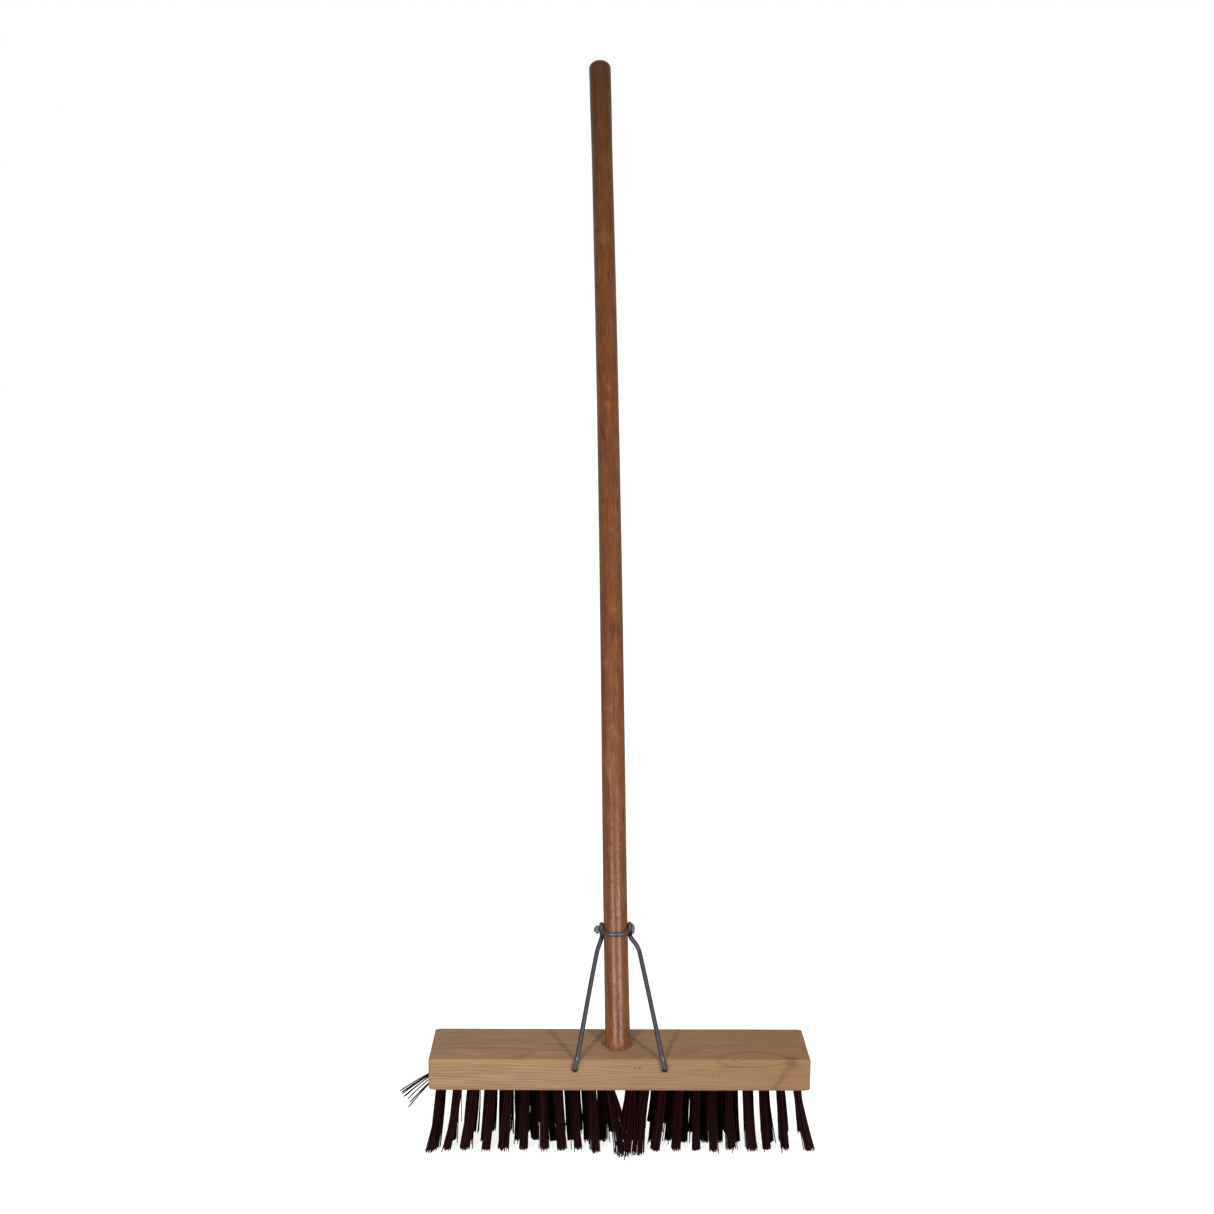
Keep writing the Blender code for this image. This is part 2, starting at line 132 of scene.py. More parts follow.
class BlockSettings(bpy.types.PropertyGroup):
    """Sizes and colours of the pine block."""

    edge_radius: FloatProperty(name="Edge radius", description="How far the long edges are eased",
                               default=1.2 * MM, min=0.2 * MM, unit="LENGTH")
    corner_radius: FloatProperty(name="Corner radius", description="How far the upright corners are eased",
                                 default=2.4 * MM, min=0.2 * MM, unit="LENGTH")
    ring_spacing: FloatProperty(name="Ring spacing", description="Distance between two growth rings",
                                default=3.1 * MM, min=0.5 * MM, unit="LENGTH")
    pale: FloatVectorProperty(name="Early wood", description="Colour between the rings", subtype="COLOR",
                              default=(0.62, 0.415, 0.24), min=0, max=1)
    dark: FloatVectorProperty(name="Late wood", description="Colour of the ring lines", subtype="COLOR",
                              default=(0.36, 0.19, 0.085), min=0, max=1)


class HandleSettings(bpy.types.PropertyGroup):
    """Sizes and colours of the handle."""

    radius: FloatProperty(name="Radius", description="Radius of the stick", default=12.5 * MM,
                          unit="LENGTH")
    bow: FloatProperty(name="Bow", description="How far the stick bows sideways at half its length",
                       default=2.0 * MM, unit="LENGTH")
    pale: FloatVectorProperty(name="Pale stain", description="Lightest colour under the varnish",
                              subtype="COLOR", default=(0.40, 0.155, 0.052), min=0, max=1)
    dark: FloatVectorProperty(name="Dark stain", description="Darkest colour under the varnish",
                              subtype="COLOR", default=(0.18, 0.058, 0.018), min=0, max=1)
    gloss: FloatProperty(name="Varnish", description="Strength of the varnish coat", default=0.6,
                         min=0, max=1, subtype="FACTOR")


class StaySettings(bpy.types.PropertyGroup):
    """Sizes and colours of the wire stay and the fasteners."""

    wire_radius: FloatProperty(name="Wire radius", description="Radius of the wire", default=2.4 * MM,
                               unit="LENGTH")
    zinc: FloatVectorProperty(name="Zinc", description="Colour of the galvanised wire", subtype="COLOR",
                              default=(0.165, 0.153, 0.172), min=0, max=1)
    plated: FloatVectorProperty(name="Plating", description="Colour of the bolt, the nut and the nail",
                                subtype="COLOR", default=(0.42, 0.41, 0.43), min=0, max=1)


class TuftSettings(bpy.types.PropertyGroup):
    """Sizes and colours of the bristles."""

    strands: IntProperty(name="Strands", description="Strands in each tuft", default=38, min=3)
    radius: FloatProperty(name="Strand radius", description="Radius of one strand", default=0.52 * MM,
                          unit="LENGTH")
    ragged: FloatProperty(name="Raggedness", description="How much the strands differ in length",
                          default=1.1 * MM, unit="LENGTH")
    colour: FloatVectorProperty(name="Colour", description="Colour of the strands", subtype="COLOR",
                                default=(0.0085, 0.0014, 0.0018), min=0, max=1)
    faded: FloatVectorProperty(name="Faded colour", description="Colour of the palest strands",
                               subtype="COLOR", default=(0.04, 0.007, 0.009), min=0, max=1)


class StageSettings(bpy.types.PropertyGroup):
    """Floor, lights and camera."""

    floor: FloatVectorProperty(name="Floor", description="Colour of the floor", subtype="COLOR",
                               default=(0.86, 0.86, 0.86), min=0, max=1)
    key_power: FloatProperty(name="Key lights", description="Power of each of the two front lights",
                             default=13, min=0, unit="POWER")
    floor_glow: FloatProperty(name="Floor glow", description="Light added to the floor for the camera",
                              default=0.85, min=0)
    top_fill: FloatProperty(name="Top fill", description="Soft light from overhead", default=0.75, min=0)
    side_fill: FloatProperty(name="Side fill", description="Soft light from the sides", default=0.12, min=0)
    back_fill: FloatProperty(name="Back fill", description="Soft light added from behind", default=0.35,
                             min=0)
    lens: FloatProperty(name="Lens", description="Focal length of the camera", default=44.7,
                        subtype="DISTANCE_CAMERA")


class PushBroomSettings(bpy.types.PropertyGroup):
    """All the settings of the broom."""

    block: PointerProperty(type=BlockSettings)
    handle: PointerProperty(type=HandleSettings)
    stay: PointerProperty(type=StaySettings)
    tufts: PointerProperty(type=TuftSettings)
    stage: PointerProperty(type=StageSettings)


# ---------------------------------------------------------------- mesh helpers

def new_object(name, data, material=None, place=None):
    """Link mesh or curve data as a named object, at its place."""
    item = bpy.data.objects.new(name, data)
    bpy.context.scene.collection.objects.link(item)
    if material is not None:
        data.materials.append(material)
    if place is not None:
        item.matrix_world = place
    return item


def mesh_from(bm, name, sharp=radians(40)):
    """Turn a bmesh into smooth mesh data that stays sharp where its faces meet steeply."""
    bmesh.ops.recalc_face_normals(bm, faces=bm.faces)
    data = bpy.data.meshes.new(name)
    bm.to_mesh(data)
    bm.free()
    data.shade_smooth()
    data.set_sharp_from_angle(angle=sharp)
    return data


def add_rod(bm, radius, start, end, sides, end_radius=None):
    """Add a closed rod, or a cone, from one point to another."""
    axis = end - start
    turn = axis.to_track_quat("Z", "Y").to_matrix().to_4x4()
    bmesh.ops.create_cone(bm, cap_ends=True, segments=sides, radius1=radius,
                          radius2=radius if end_radius is None else end_radius, depth=axis.length,
                          matrix=Matrix.Translation((start + end) / 2) @ turn)


def settle(item, *cutters):
    """Replace an object's mesh by what its modifiers make of it, and remove the cutters."""
    graph = bpy.context.evaluated_depsgraph_get()
    graph.update()
    made = bpy.data.meshes.new_from_object(item.evaluated_get(graph))
    item.modifiers.clear()
    item.data = made
    for cutter in cutters:
        bpy.data.objects.remove(cutter, do_unlink=True)
    return made


def carve(item, cutters, sharp=radians(40)):
    """Cut holes into an object and settle its mesh."""
    for cutter in cutters:
        modifier = item.modifiers.new(cutter.name, "BOOLEAN")
        modifier.operation = "DIFFERENCE"
        modifier.solver = "EXACT"
        modifier.object = cutter
    data = settle(item, *cutters)
    data.shade_smooth()
    data.set_sharp_from_angle(angle=sharp)


def grid_tube(rings):
    """Skin a list of rings of points, each with the same number of points, and close both ends."""
    sides = len(rings[0])
    points = [point for ring in rings for point in ring]
    last = len(points) - sides
    faces = []
    for low in range(0, last, sides):
        for j in range(sides):
            k = (j + 1) % sides
            faces.append((low + j, low + k, low + sides + k, low + sides + j))
    faces.append(tuple(reversed(range(sides))))
    faces.append(tuple(range(last, last + sides)))
    return points, faces


def tube_mesh(rings, name, sharp):
    """Skin rings of points into smooth mesh data."""
    points, faces = grid_tube(rings)
    data = bpy.data.meshes.new(name)
    data.from_pydata(points, [], faces)
    bm = bmesh.new()
    bm.from_mesh(data)
    bpy.data.meshes.remove(data)
    return mesh_from(bm, name, sharp)


def handle_matrix():
    """Give the handle's own frame: Z runs up the handle, X across it, zero at the block's top."""
    turn = Matrix.Rotation(-HANDLE_SIDE_LEAN, 4, "Y") @ Matrix.Rotation(-HANDLE_TILT, 4, "X")
    return Matrix.Translation((BLOCK_MIDDLE.x + HANDLE_X, BLOCK_MIDDLE.y, BLOCK_HIGH.z)) @ turn


def at_clamp(x, y, z):
    """Give a point by its place round the clamp bolt's middle."""
    return handle_matrix() @ Vector((x, y, CLAMP_HEIGHT + z))


def smooth_line(points, steps):
    """Run a smooth curve through points, with so many steps from each to the next."""
    last = len(points) - 1
    ways = [(points[min(i + 1, last)] - points[max(i - 1, 0)]).normalized() for i in range(last + 1)]
    line = []
    for i in range(last):
        pull = (points[i + 1] - points[i]).length / 3
        line += interpolate_bezier(points[i], points[i] + ways[i] * pull, points[i + 1] - ways[i + 1] * pull,
                                   points[i + 1], steps + 1)[:-1]
    line.append(points[-1].copy())
    return line


# ---------------------------------------------------------------- material helpers

class Nodes:
    """A node tree and a short way to add nodes to it."""

    def __init__(self, tree):
        self.tree = tree

    def set(self, item, values):
        """Set or link a node's inputs by name or by number."""
        for key, value in values.items():
            socket = item.inputs[key]
            if isinstance(value, bpy.types.NodeSocket):
                self.tree.links.new(value, socket)
            elif hasattr(value, "__len__") and len(socket.default_value) == 4 and len(value) == 3:
                socket.default_value = (*value, 1.0)
            else:
                socket.default_value = value

    def add(self, kind, inputs=None, **settings):
        """Add a node."""
        item = self.tree.nodes.new("ShaderNode" + kind)
        for key, value in settings.items():
            setattr(item, key, value)
        self.set(item, inputs or {})
        return item

    def math(self, operation, a, b=0.0, c=0.0, clamp=False):
        """Add a Math node and give its result."""
        item = self.add("Math", {0: a, 1: b, 2: c}, operation=operation, use_clamp=clamp)
        return item.outputs[0]

    def vector(self, operation, a, b=(0, 0, 0)):
        """Add a Vector Math node and give its vector, or the number when it makes one."""
        item = self.add("VectorMath", {0: a, 1: b}, operation=operation)
        return item.outputs["Value" if operation in ("LENGTH", "DOT_PRODUCT") else "Vector"]

    def place(self):
        """Give the point's place in the object's own frame, in metres."""
        return self.add("TexCoord").outputs["Object"]

    def noise(self, place, scale, stretch=(1, 1, 1), detail=3.0, rough=0.55, distort=0.0):
        """Add a noise whose grain is drawn out by the stretch, and give its value from 0 to 1."""
        drawn = self.vector("MULTIPLY", place, stretch)
        item = self.add("TexNoise", {"Vector": drawn, "Scale": scale, "Detail": detail, "Roughness": rough,
                                     "Distortion": distort})
        return item.outputs["Fac"]

    def ramp(self, value, *stops):
        """Map a value through stops of (place, colour or grey)."""
        item = self.add("ValToRGB", {"Fac": value})
        ramp = item.color_ramp
        while len(ramp.elements) < len(stops):
            ramp.elements.new(0.5)
        for element, (place, colour) in zip(ramp.elements, stops):
            element.position = place
            element.color = (*colour, 1) if hasattr(colour, "__len__") else (colour, colour, colour, 1)
        return item.outputs["Color"]

    def mix(self, share, a, b):
        """Mix two colours."""
        item = self.add("Mix", data_type="RGBA")
        self.set(item, {0: share, 6: a, 7: b})
        return item.outputs[2]

    def tint(self, colour, *layers):
        """Lay colours over a colour: each comes in as its value goes from start to end, up to its share."""
        for value, start, end, share, over in layers:
            colour = self.mix(self.ramp(value, (start, 0.0), (end, share)), colour, over)
        return colour

    def split(self, place):
        """Give a vector's three parts."""
        item = self.add("SeparateXYZ", {0: place})
        return item.outputs[0], item.outputs[1], item.outputs[2]

    def join(self, x, y, z):
        """Make a vector of three parts."""
        return self.add("CombineXYZ", {0: x, 1: y, 2: z}).outputs[0]

    def attribute(self, name):
        """Read a value stored on the mesh."""
        return self.add("Attribute", attribute_name=name).outputs["Fac"]

    def bell(self, value, width):
        """Give 1 where the value is 0, falling away smoothly over the width."""
        ratio = self.math("DIVIDE", value, width)
        return self.math("EXPONENT", self.math("MULTIPLY", self.math("MULTIPLY", ratio, ratio), -1.0))


class Shader(Nodes):
    """A Principled material."""

    def __init__(self, name, values):
        self.material = bpy.data.materials.new(name)
        self.material.use_nodes = True
        super().__init__(self.material.node_tree)
        self.surface = self.tree.nodes["Principled BSDF"]
        self.set(self.surface, values)

    def bump(self, *layers):
        """Stack bumps, each (height, strength, distance), and link the result to the surface."""
        normal = None
        for height, strength, distance in layers:
            inputs = {"Height": height, "Strength": strength, "Distance": distance}
            if normal is not None:
                inputs["Normal"] = normal
            normal = self.add("Bump", inputs).outputs["Normal"]
        self.tree.links.new(normal, self.surface.inputs["Normal"])
        if self.surface.inputs["Coat Weight"].default_value > 0:
            self.tree.links.new(normal, self.surface.inputs["Coat Normal"])


# ---------------------------------------------------------------- block

# The tree's pith, outside the block: its place across the block and its height, from the block's middle.
PITH = (-28 * MM, -62 * MM)

# The knot by the right end: its place from the block's middle and the way it runs.
KNOT_PLACE = (171 * MM, -33 * MM, 15 * MM)
KNOT_LEAN = (-0.35, 0.55, 0.76)

# Places where the rings close round a hidden branch: place, reach along each axis and how much deeper
# they lie there.
WHORLS = (
    ((132 * MM, -36 * MM, 17 * MM), (34 * MM, 17 * MM, 8 * MM), 13 * MM),
    ((17.5 * MM, -35 * MM, 8 * MM), (5 * MM, 9 * MM, 3.4 * MM), 5 * MM),
    ((-120 * MM, 28 * MM, 17 * MM), (60 * MM, 11 * MM, 9 * MM), 7 * MM),
)

# Dark specks where a thin branch ends on the front: place along the block, place up it and size.
PIN_KNOTS = (
    (15.6 * MM, 7.4 * MM, 0.8 * MM),
    (19.6 * MM, 8.2 * MM, 1.1 * MM),
    (92 * MM, -2 * MM, 0.7 * MM),
)

# The brown streak: where it meets the bottom edge, how far it leans as it rises, and its width.
STREAK_FOOT = 155.5 * MM
STREAK_LEAN = 0.6
STREAK_WIDTH = 3.6 * MM

LATE_SAP = (0.27, 0.14, 0.06)
PALE_HAIR = (0.66, 0.47, 0.29)
HEARTWOOD = (0.36, 0.18, 0.065)
BROWN_TOP = (0.42, 0.215, 0.09)
BROWN_BAND = (0.40, 0.20, 0.085)
DULL_PATCH = (0.45, 0.27, 0.165)
FLECK = (0.15, 0.07, 0.035)
RESIN = (0.55, 0.33, 0.12)
KNOT_CORE = (0.17, 0.07, 0.03)
STREAK = (0.20, 0.085, 0.035)
PIN_CORE = (0.10, 0.045, 0.02)
# A painted highlight along the block's edges.
EDGE_HIGHLIGHT = (0.47, 0.25, 0.09)
# Dirt, deepened by painted shade round the handle and the stay's feet.
DIRT_AND_SHADE = (0.13, 0.07, 0.035)
VARNISH_SMEAR = (0.26, 0.105, 0.05)


def knot_distance(wood, place):
    """Give the distance from the knot's own axis."""
    lean = Vector(KNOT_LEAN).normalized()
    from_knot = wood.vector("SUBTRACT", place, KNOT_PLACE)
    along = wood.vector("DOT_PRODUCT", from_knot, tuple(lean))
    inside = wood.add("VectorMath", {0: tuple(lean), 3: along}, operation="SCALE").outputs[0]
    beside = wood.vector("SUBTRACT", from_knot, inside)
    return wood.vector("LENGTH", wood.vector("MULTIPLY", beside, (0.55, 1, 1)))


def whorl_distance(wood, place, middle, reach):
    """Give the distance from a whorl's middle, as a share of its reach."""
    return wood.vector("LENGTH", wood.vector("DIVIDE", wood.vector("SUBTRACT", place, middle), reach))


def pine_rings(wood, place, knot, spacing):
    """Give the growth rings, which bend round the knot and close round the whorls."""
    _, y, z = wood.split(place)
    from_pith = wood.vector("LENGTH", wood.join(0.0, wood.math("SUBTRACT", y, PITH[0]),
                                                wood.math("SUBTRACT", z, PITH[1])))
    wander = wood.noise(place, 5.0, (1, 3, 3), detail=2.0)
    ripple = wood.noise(place, 40.0, (0.25, 1, 1), detail=2.0)
    depth = wood.math("MULTIPLY_ADD", wander, 20 * MM, from_pith)
    depth = wood.math("MULTIPLY_ADD", ripple, 2.6 * MM, depth)
    depth = wood.math("MULTIPLY_ADD", wood.bell(knot, 9 * MM), 7 * MM, depth)
    for middle, reach, deeper in WHORLS:
        whorl = wood.bell(whorl_distance(wood, place, middle, reach), 1.0)
        depth = wood.math("MULTIPLY_ADD", whorl, deeper, depth)
    turns = wood.math("FRACT", wood.math("DIVIDE", depth, spacing))
    return wood.ramp(turns, (0.0, 0.0), (0.55, 0.25), (0.86, 1.0), (0.97, 0.75), (1.0, 0.0))


def pine_material(settings):
    """Planed pine: growth rings, fibres, a knot by the right end, dirt in the grain deepened by painted shade
    round the handle and the feet, and a painted highlight along the edges.
    """
    wood = Shader("planed_pine", {"Specular IOR Level": 0.35})
    place = wood.vector("SUBTRACT", wood.place(), tuple(BLOCK_MIDDLE))
    x, y, z = wood.split(place)
    on_front = wood.math("LESS_THAN", y, -BLOCK_HALF.y + 5 * MM)
    on_top = wood.math("GREATER_THAN", z, BLOCK_HALF.z - 1 * MM)
    knot = knot_distance(wood, place)
    rings = pine_rings(wood, place, knot, settings.ring_spacing)
    fibre = wood.noise(place, 60.0, (0.35, 12, 12), detail=4.0, rough=0.6)
    hair = wood.noise(place, 300.0, (0.08, 5, 5), detail=2.0)
    band = wood.noise(place, 14.0, (0.3, 9, 9), detail=3.0)
    blotch = wood.noise(place, 9.0, (0.7, 2, 2), detail=2.0)
    fleck = wood.noise(place, 120.0, (0.12, 4, 4), detail=1.0)

    bold = wood.ramp(band, (0.3, 0.55), (0.65, 1.0))
    colour = wood.mix(wood.math("MULTIPLY", rings, bold), tuple(settings.pale), tuple(settings.dark))
    colour = wood.mix(wood.math("MULTIPLY", on_top, 0.35), colour, BROWN_TOP)
    colour = wood.tint(
        colour,
        (fibre, 0.3, 0.75, 0.8, LATE_SAP),
        (hair, 0.52, 0.8, 0.6, PALE_HAIR),
        (band, 0.5, 0.72, 0.5, BROWN_BAND),
        (blotch, 0.35, 0.7, 0.3, DULL_PATCH),
    )
    rightward = wood.math("MULTIPLY_ADD", x, 0.5 / BLOCK_HALF.x, 0.3)
    colour = wood.mix(wood.math("MULTIPLY", rightward, 0.8, clamp=True), colour, HEARTWOOD)
    colour = wood.tint(colour, (fleck, 0.70, 0.78, 0.45, FLECK))

    # A yellow resin band under the top edge of the front, on the left.
    under_edge = wood.math("SUBTRACT", wood.math("MULTIPLY_ADD", blotch, 6 * MM, z), BLOCK_HALF.z)
    leftward = wood.math("DIVIDE", wood.math("ADD", x, 35 * MM), -40 * MM, clamp=True)
    resin = wood.math("MULTIPLY", wood.bell(under_edge, 2.4 * MM), leftward)
    resin = wood.math("MULTIPLY", resin, wood.math("LESS_THAN", y, -BLOCK_HALF.y + 2 * MM))
    colour = wood.mix(wood.math("MULTIPLY", resin, 0.4), colour, RESIN)

    # Two bolder rings close round the branch under the top face, on the right.
    middle, reach, _ = WHORLS[0]
    ragged = wood.noise(place, 30.0, detail=3.0)
    distance = wood.math("MULTIPLY_ADD", ragged, 0.3, whorl_distance(wood, place, middle, reach))
    lines = wood.ramp(wood.math("MULTIPLY", distance, 0.5), (0.3, 0.0), (0.36, 0.45), (0.4, 0.0),
                      (0.54, 0.0), (0.62, 0.6), (0.67, 0.0))
    colour = wood.mix(lines, colour, LATE_SAP)

    # The knot's dark core, the brown streak that runs down the front from it, and the pin knots.
    colour = wood.mix(wood.math("MULTIPLY", wood.bell(knot, 3.6 * MM), 0.6), colour, KNOT_CORE)
    slant = wood.math("SUBTRACT", wood.math("MULTIPLY_ADD", z, -STREAK_LEAN, x),
                      STREAK_FOOT + STREAK_LEAN * BLOCK_HALF.z)
    torn = wood.math("MULTIPLY_ADD", wood.noise(place, 90.0, detail=3.0), 5 * MM, slant)
    streak = wood.math("MULTIPLY", wood.bell(torn, STREAK_WIDTH), on_front)
    colour = wood.mix(wood.math("MULTIPLY", streak, 0.45), colour, STREAK)
    for along, up, size in PIN_KNOTS:
        spot = wood.join(wood.math("SUBTRACT", x, along), 0.0, wood.math("SUBTRACT", z, up))
        pin = wood.math("MULTIPLY", wood.bell(wood.vector("LENGTH", spot), size), on_front)
        colour = wood.mix(wood.math("MULTIPLY", pin, 0.85), colour, PIN_CORE)

    # Handling and painted light: a painted highlight along the edges, which are also smoother, dirt in the
    # grain deepened by painted shade round the handle and the feet and darker towards the bottom edge, and a
    # smear of varnish round the handle.
    # Painted highlight along the edges, where the wood is also smoother.
    edge = wood.attribute("edge")
    colour = wood.mix(wood.math("MULTIPLY", edge, 0.35), colour, EDGE_HIGHLIGHT)
    # Dirt in the grain, with painted shade round the handle's foot and the stay's feet, darker towards the
    # bottom edge.
    grime_and_shade = wood.math("MULTIPLY", wood.noise(place, 25.0, (0.5, 1, 1), detail=4.0), wood.attribute("grime_and_shade"))
    colour = wood.mix(wood.math("MULTIPLY", grime_and_shade, 0.7), colour, DIRT_AND_SHADE)
    smear = wood.math("ADD", wood.attribute("smear"), wood.noise(place, 170.0, detail=4.0))
    colour = wood.tint(colour, (smear, 0.98, 1.1, 0.75, VARNISH_SMEAR))

    rough = wood.math("MULTIPLY_ADD", fibre, 0.2, 0.52)
    rough = wood.math("MULTIPLY_ADD", edge, -0.12, rough)
    wood.set(wood.surface, {"Base Color": colour, "Roughness": rough})
    wood.bump((rings, 0.3, 0.18 * MM), (fibre, 0.55, 0.14 * MM), (hair, 0.3, 0.05 * MM))
    return wood.material


def cut_levels(half, edge):
    """List where one side of the block is cut into a grid, closer together by its edges."""
    near = [edge * share for share in (0.0, 0.18, 0.42, 0.72, 1.1, 1.9)]
    inner = half - near[-1]
    count = max(2, round(inner * 2 / (9 * MM)))
    levels = [-half + step for step in near[1:]]
    levels += [-inner + inner * 2 * i / count for i in range(1, count)]
    levels += [half - step for step in reversed(near[1:])]
    return levels


def block_shape(settings):
    """Model the block as a box whose edges are eased unevenly, as by a plane and by hand."""
    bm = bmesh.new()
    size = Matrix.Diagonal((*(BLOCK_HALF * 2), 1))
    bmesh.ops.create_cube(bm, size=1, matrix=size)
    for axis, half in enumerate(BLOCK_HALF):
        direction = Vector([1.0 if i == axis else 0.0 for i in range(3)])
        for level in cut_levels(half, 3 * MM):
            parts = bm.verts[:] + bm.edges[:] + bm.faces[:]
            bmesh.ops.bisect_plane(bm, geom=parts, plane_co=direction * level, plane_no=direction)
    # How near each point lies to an edge, for the painted edge highlight and the smoother edges.
    edge_nearness = bm.verts.layers.float.new("edge")
    for vert in bm.verts:
        vary = noise.noise(Vector((vert.co.x * 22, vert.co.y * 40, vert.co.z * 40)))
        upright = min(BLOCK_HALF.x - abs(vert.co.x), BLOCK_HALF.y - abs(vert.co.y)) < 3 * MM
        at_end = BLOCK_HALF.x - abs(vert.co.x) < 3.5 * MM
        radius = settings.corner_radius if at_end and upright else settings.edge_radius
        radius *= 1 + 0.35 * vary
        inner = Vector([max(-half + radius, min(half - radius, value))
                        for value, half in zip(vert.co, BLOCK_HALF)])
        out = vert.co - inner
        if out.length > 1e-9:
            vert.co = inner + out.normalized() * radius
        closeness = sorted(half - abs(value) for value, half in zip(vert.co, BLOCK_HALF))[1]
        vert[edge_nearness] = max(0.0, 1 - closeness / (3 * MM))
    bmesh.ops.translate(bm, verts=bm.verts, vec=BLOCK_MIDDLE)
    return mesh_from(bm, "pine_block", radians(50))


def foot_place(side):
    """Give the middle of one foot's hole in the block's front face."""
    return Vector((BLOCK_MIDDLE.x + side * FOOT_X, BLOCK_LOW.y, BLOCK_HIGH.z - FOOT_BELOW_TOP))


def block_cutters():
    """Make the tools that drill the block: tuft holes, foot holes, handle bore and nail hole."""
    bm = bmesh.new()
    for _, row, _, staggered, drift, clumps in ROWS:
        y = BLOCK_MIDDLE.y + row * TUFT_PITCH
        for places in row_places(staggered, drift, clumps):
            for x in places:
                low = Vector((BLOCK_MIDDLE.x + x, y, BLOCK_LOW.z - DRILL_START))
                high = low + Vector((0, 0, DRILL_START + TUFT_HOLE_DEPTH))
                add_rod(bm, TUFT_HOLE_RADIUS, low, high, 16)
    for side in (-1, 1):
        mouth = foot_place(side) - Vector((0, DRILL_START, 0))
        end = mouth + Vector((0, DRILL_START + FOOT_DEPTH + GAP, 0))
        add_rod(bm, FOOT_HOLE_RADIUS, mouth, end, 20)
    nail = Vector((BLOCK_MIDDLE.x + HANDLE_X, BLOCK_HIGH.y + DRILL_START, BLOCK_HIGH.z - NAIL_BELOW_TOP))
    add_rod(bm, NAIL_HOLE_RADIUS, nail, nail - Vector((0, 2 * DRILL_START, 0)), 20)
    holes = new_object("drilled_holes", mesh_from(bm, "drilled_holes"))
    bm = bmesh.new()
    bottom = Vector((0, 0, -HANDLE_SEAT - GAP))
    add_rod(bm, HANDLE_BORE_RADIUS, bottom, Vector((0, 0, HANDLE_SEAT)), 48)
    bore = new_object("handle_bore", mesh_from(bm, "handle_bore"), place=handle_matrix())
    return [holes, bore]


def store_grime_and_shade(data):
    """Store where dirt lies, deepened by painted shade round the handle and the feet and darker towards the
    bottom edge, and where varnish has run.
    """
    grime_and_shade = data.attributes.new("grime_and_shade", "FLOAT", "POINT")
    smear = data.attributes.new("smear", "FLOAT", "POINT")
    base = handle_matrix().translation
    spots = [(base, 26 * MM), (foot_place(-1), 9 * MM), (foot_place(1), 9 * MM)]
    for vert, dirt_and_shade, varnish in zip(data.vertices, grime_and_shade.data, smear.data):
        # Painted shade round the handle's foot and the stay's feet, and darker towards the bottom edge, over
        # a little dirt everywhere.
        near = max(1 - (vert.co - spot).length / reach for spot, reach in spots)
        low = 1 - (vert.co.z - BLOCK_LOW.z) / (5 * MM)
        dirt_and_shade.value = max(0.12, min(1.0, near), min(0.8, low))
        from_stick = (vert.co - base - Vector((0, -1 * MM, 0))).length - HANDLE_RADIUS
        varnish.value = max(0.0, 1 - from_stick / (7 * MM)) if vert.co.z > BLOCK_HIGH.z - 1 * MM else 0.0


class PUSHBROOM_OT_make_block(bpy.types.Operator):
    """Build the drilled pine block"""

    bl_idname = "pushbroom.make_block"
    bl_label = "Make Block"

    def execute(self, context):
        settings = context.scene.push_broom.block
        block = new_object("pine_block", block_shape(settings), pine_material(settings))
        carve(block, block_cutters(), radians(50))
        store_grime_and_shade(block.data)
        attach(block, "root")
        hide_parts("block")
        return {"FINISHED"}


# ---------------------------------------------------------------- handle

# The stick's grip end and its foot are a little thicker than its middle, and it bows from above the clamp.
# Its top is a dome and its foot has a small chamfer.
BOW_START = 150 * MM
GRIP_SWELL = 0.06
GRIP_REACH = 110 * MM
FOOT_SWELL = 0.025
FOOT_REACH = 90 * MM
DOME_HEIGHT = 8 * MM
FOOT_CHAMFER = 0.8 * MM

# Dark flecks in the handle's wood: place in the handle's frame, width and height.
HANDLE_FLECKS = (
    (4.0 * MM, -11 * MM, 433 * MM, 1.7 * MM, 6 * MM),
    (4.5 * MM, -11 * MM, 855 * MM, 1.2 * MM, 7 * MM),
    (-4.5 * MM, -11 * MM, 659 * MM, 1.2 * MM, 8 * MM),
    (9.0 * MM, 7 * MM, 300 * MM, 1.8 * MM, 7 * MM),
    (-6.0 * MM, 10 * MM, 760 * MM, 1.5 * MM, 9 * MM),
)
RED_STAIN = (0.24, 0.07, 0.025)
DARK_CURL = (0.13, 0.04, 0.014)
PALE_CURL = (0.5, 0.22, 0.085)
PORE = (0.06, 0.02, 0.01)
TOP_END_DARKENING = (0.085, 0.032, 0.012)
HANDLE_FLECK = (0.045, 0.015, 0.008)
BARE_CHIP = (0.42, 0.22, 0.12)


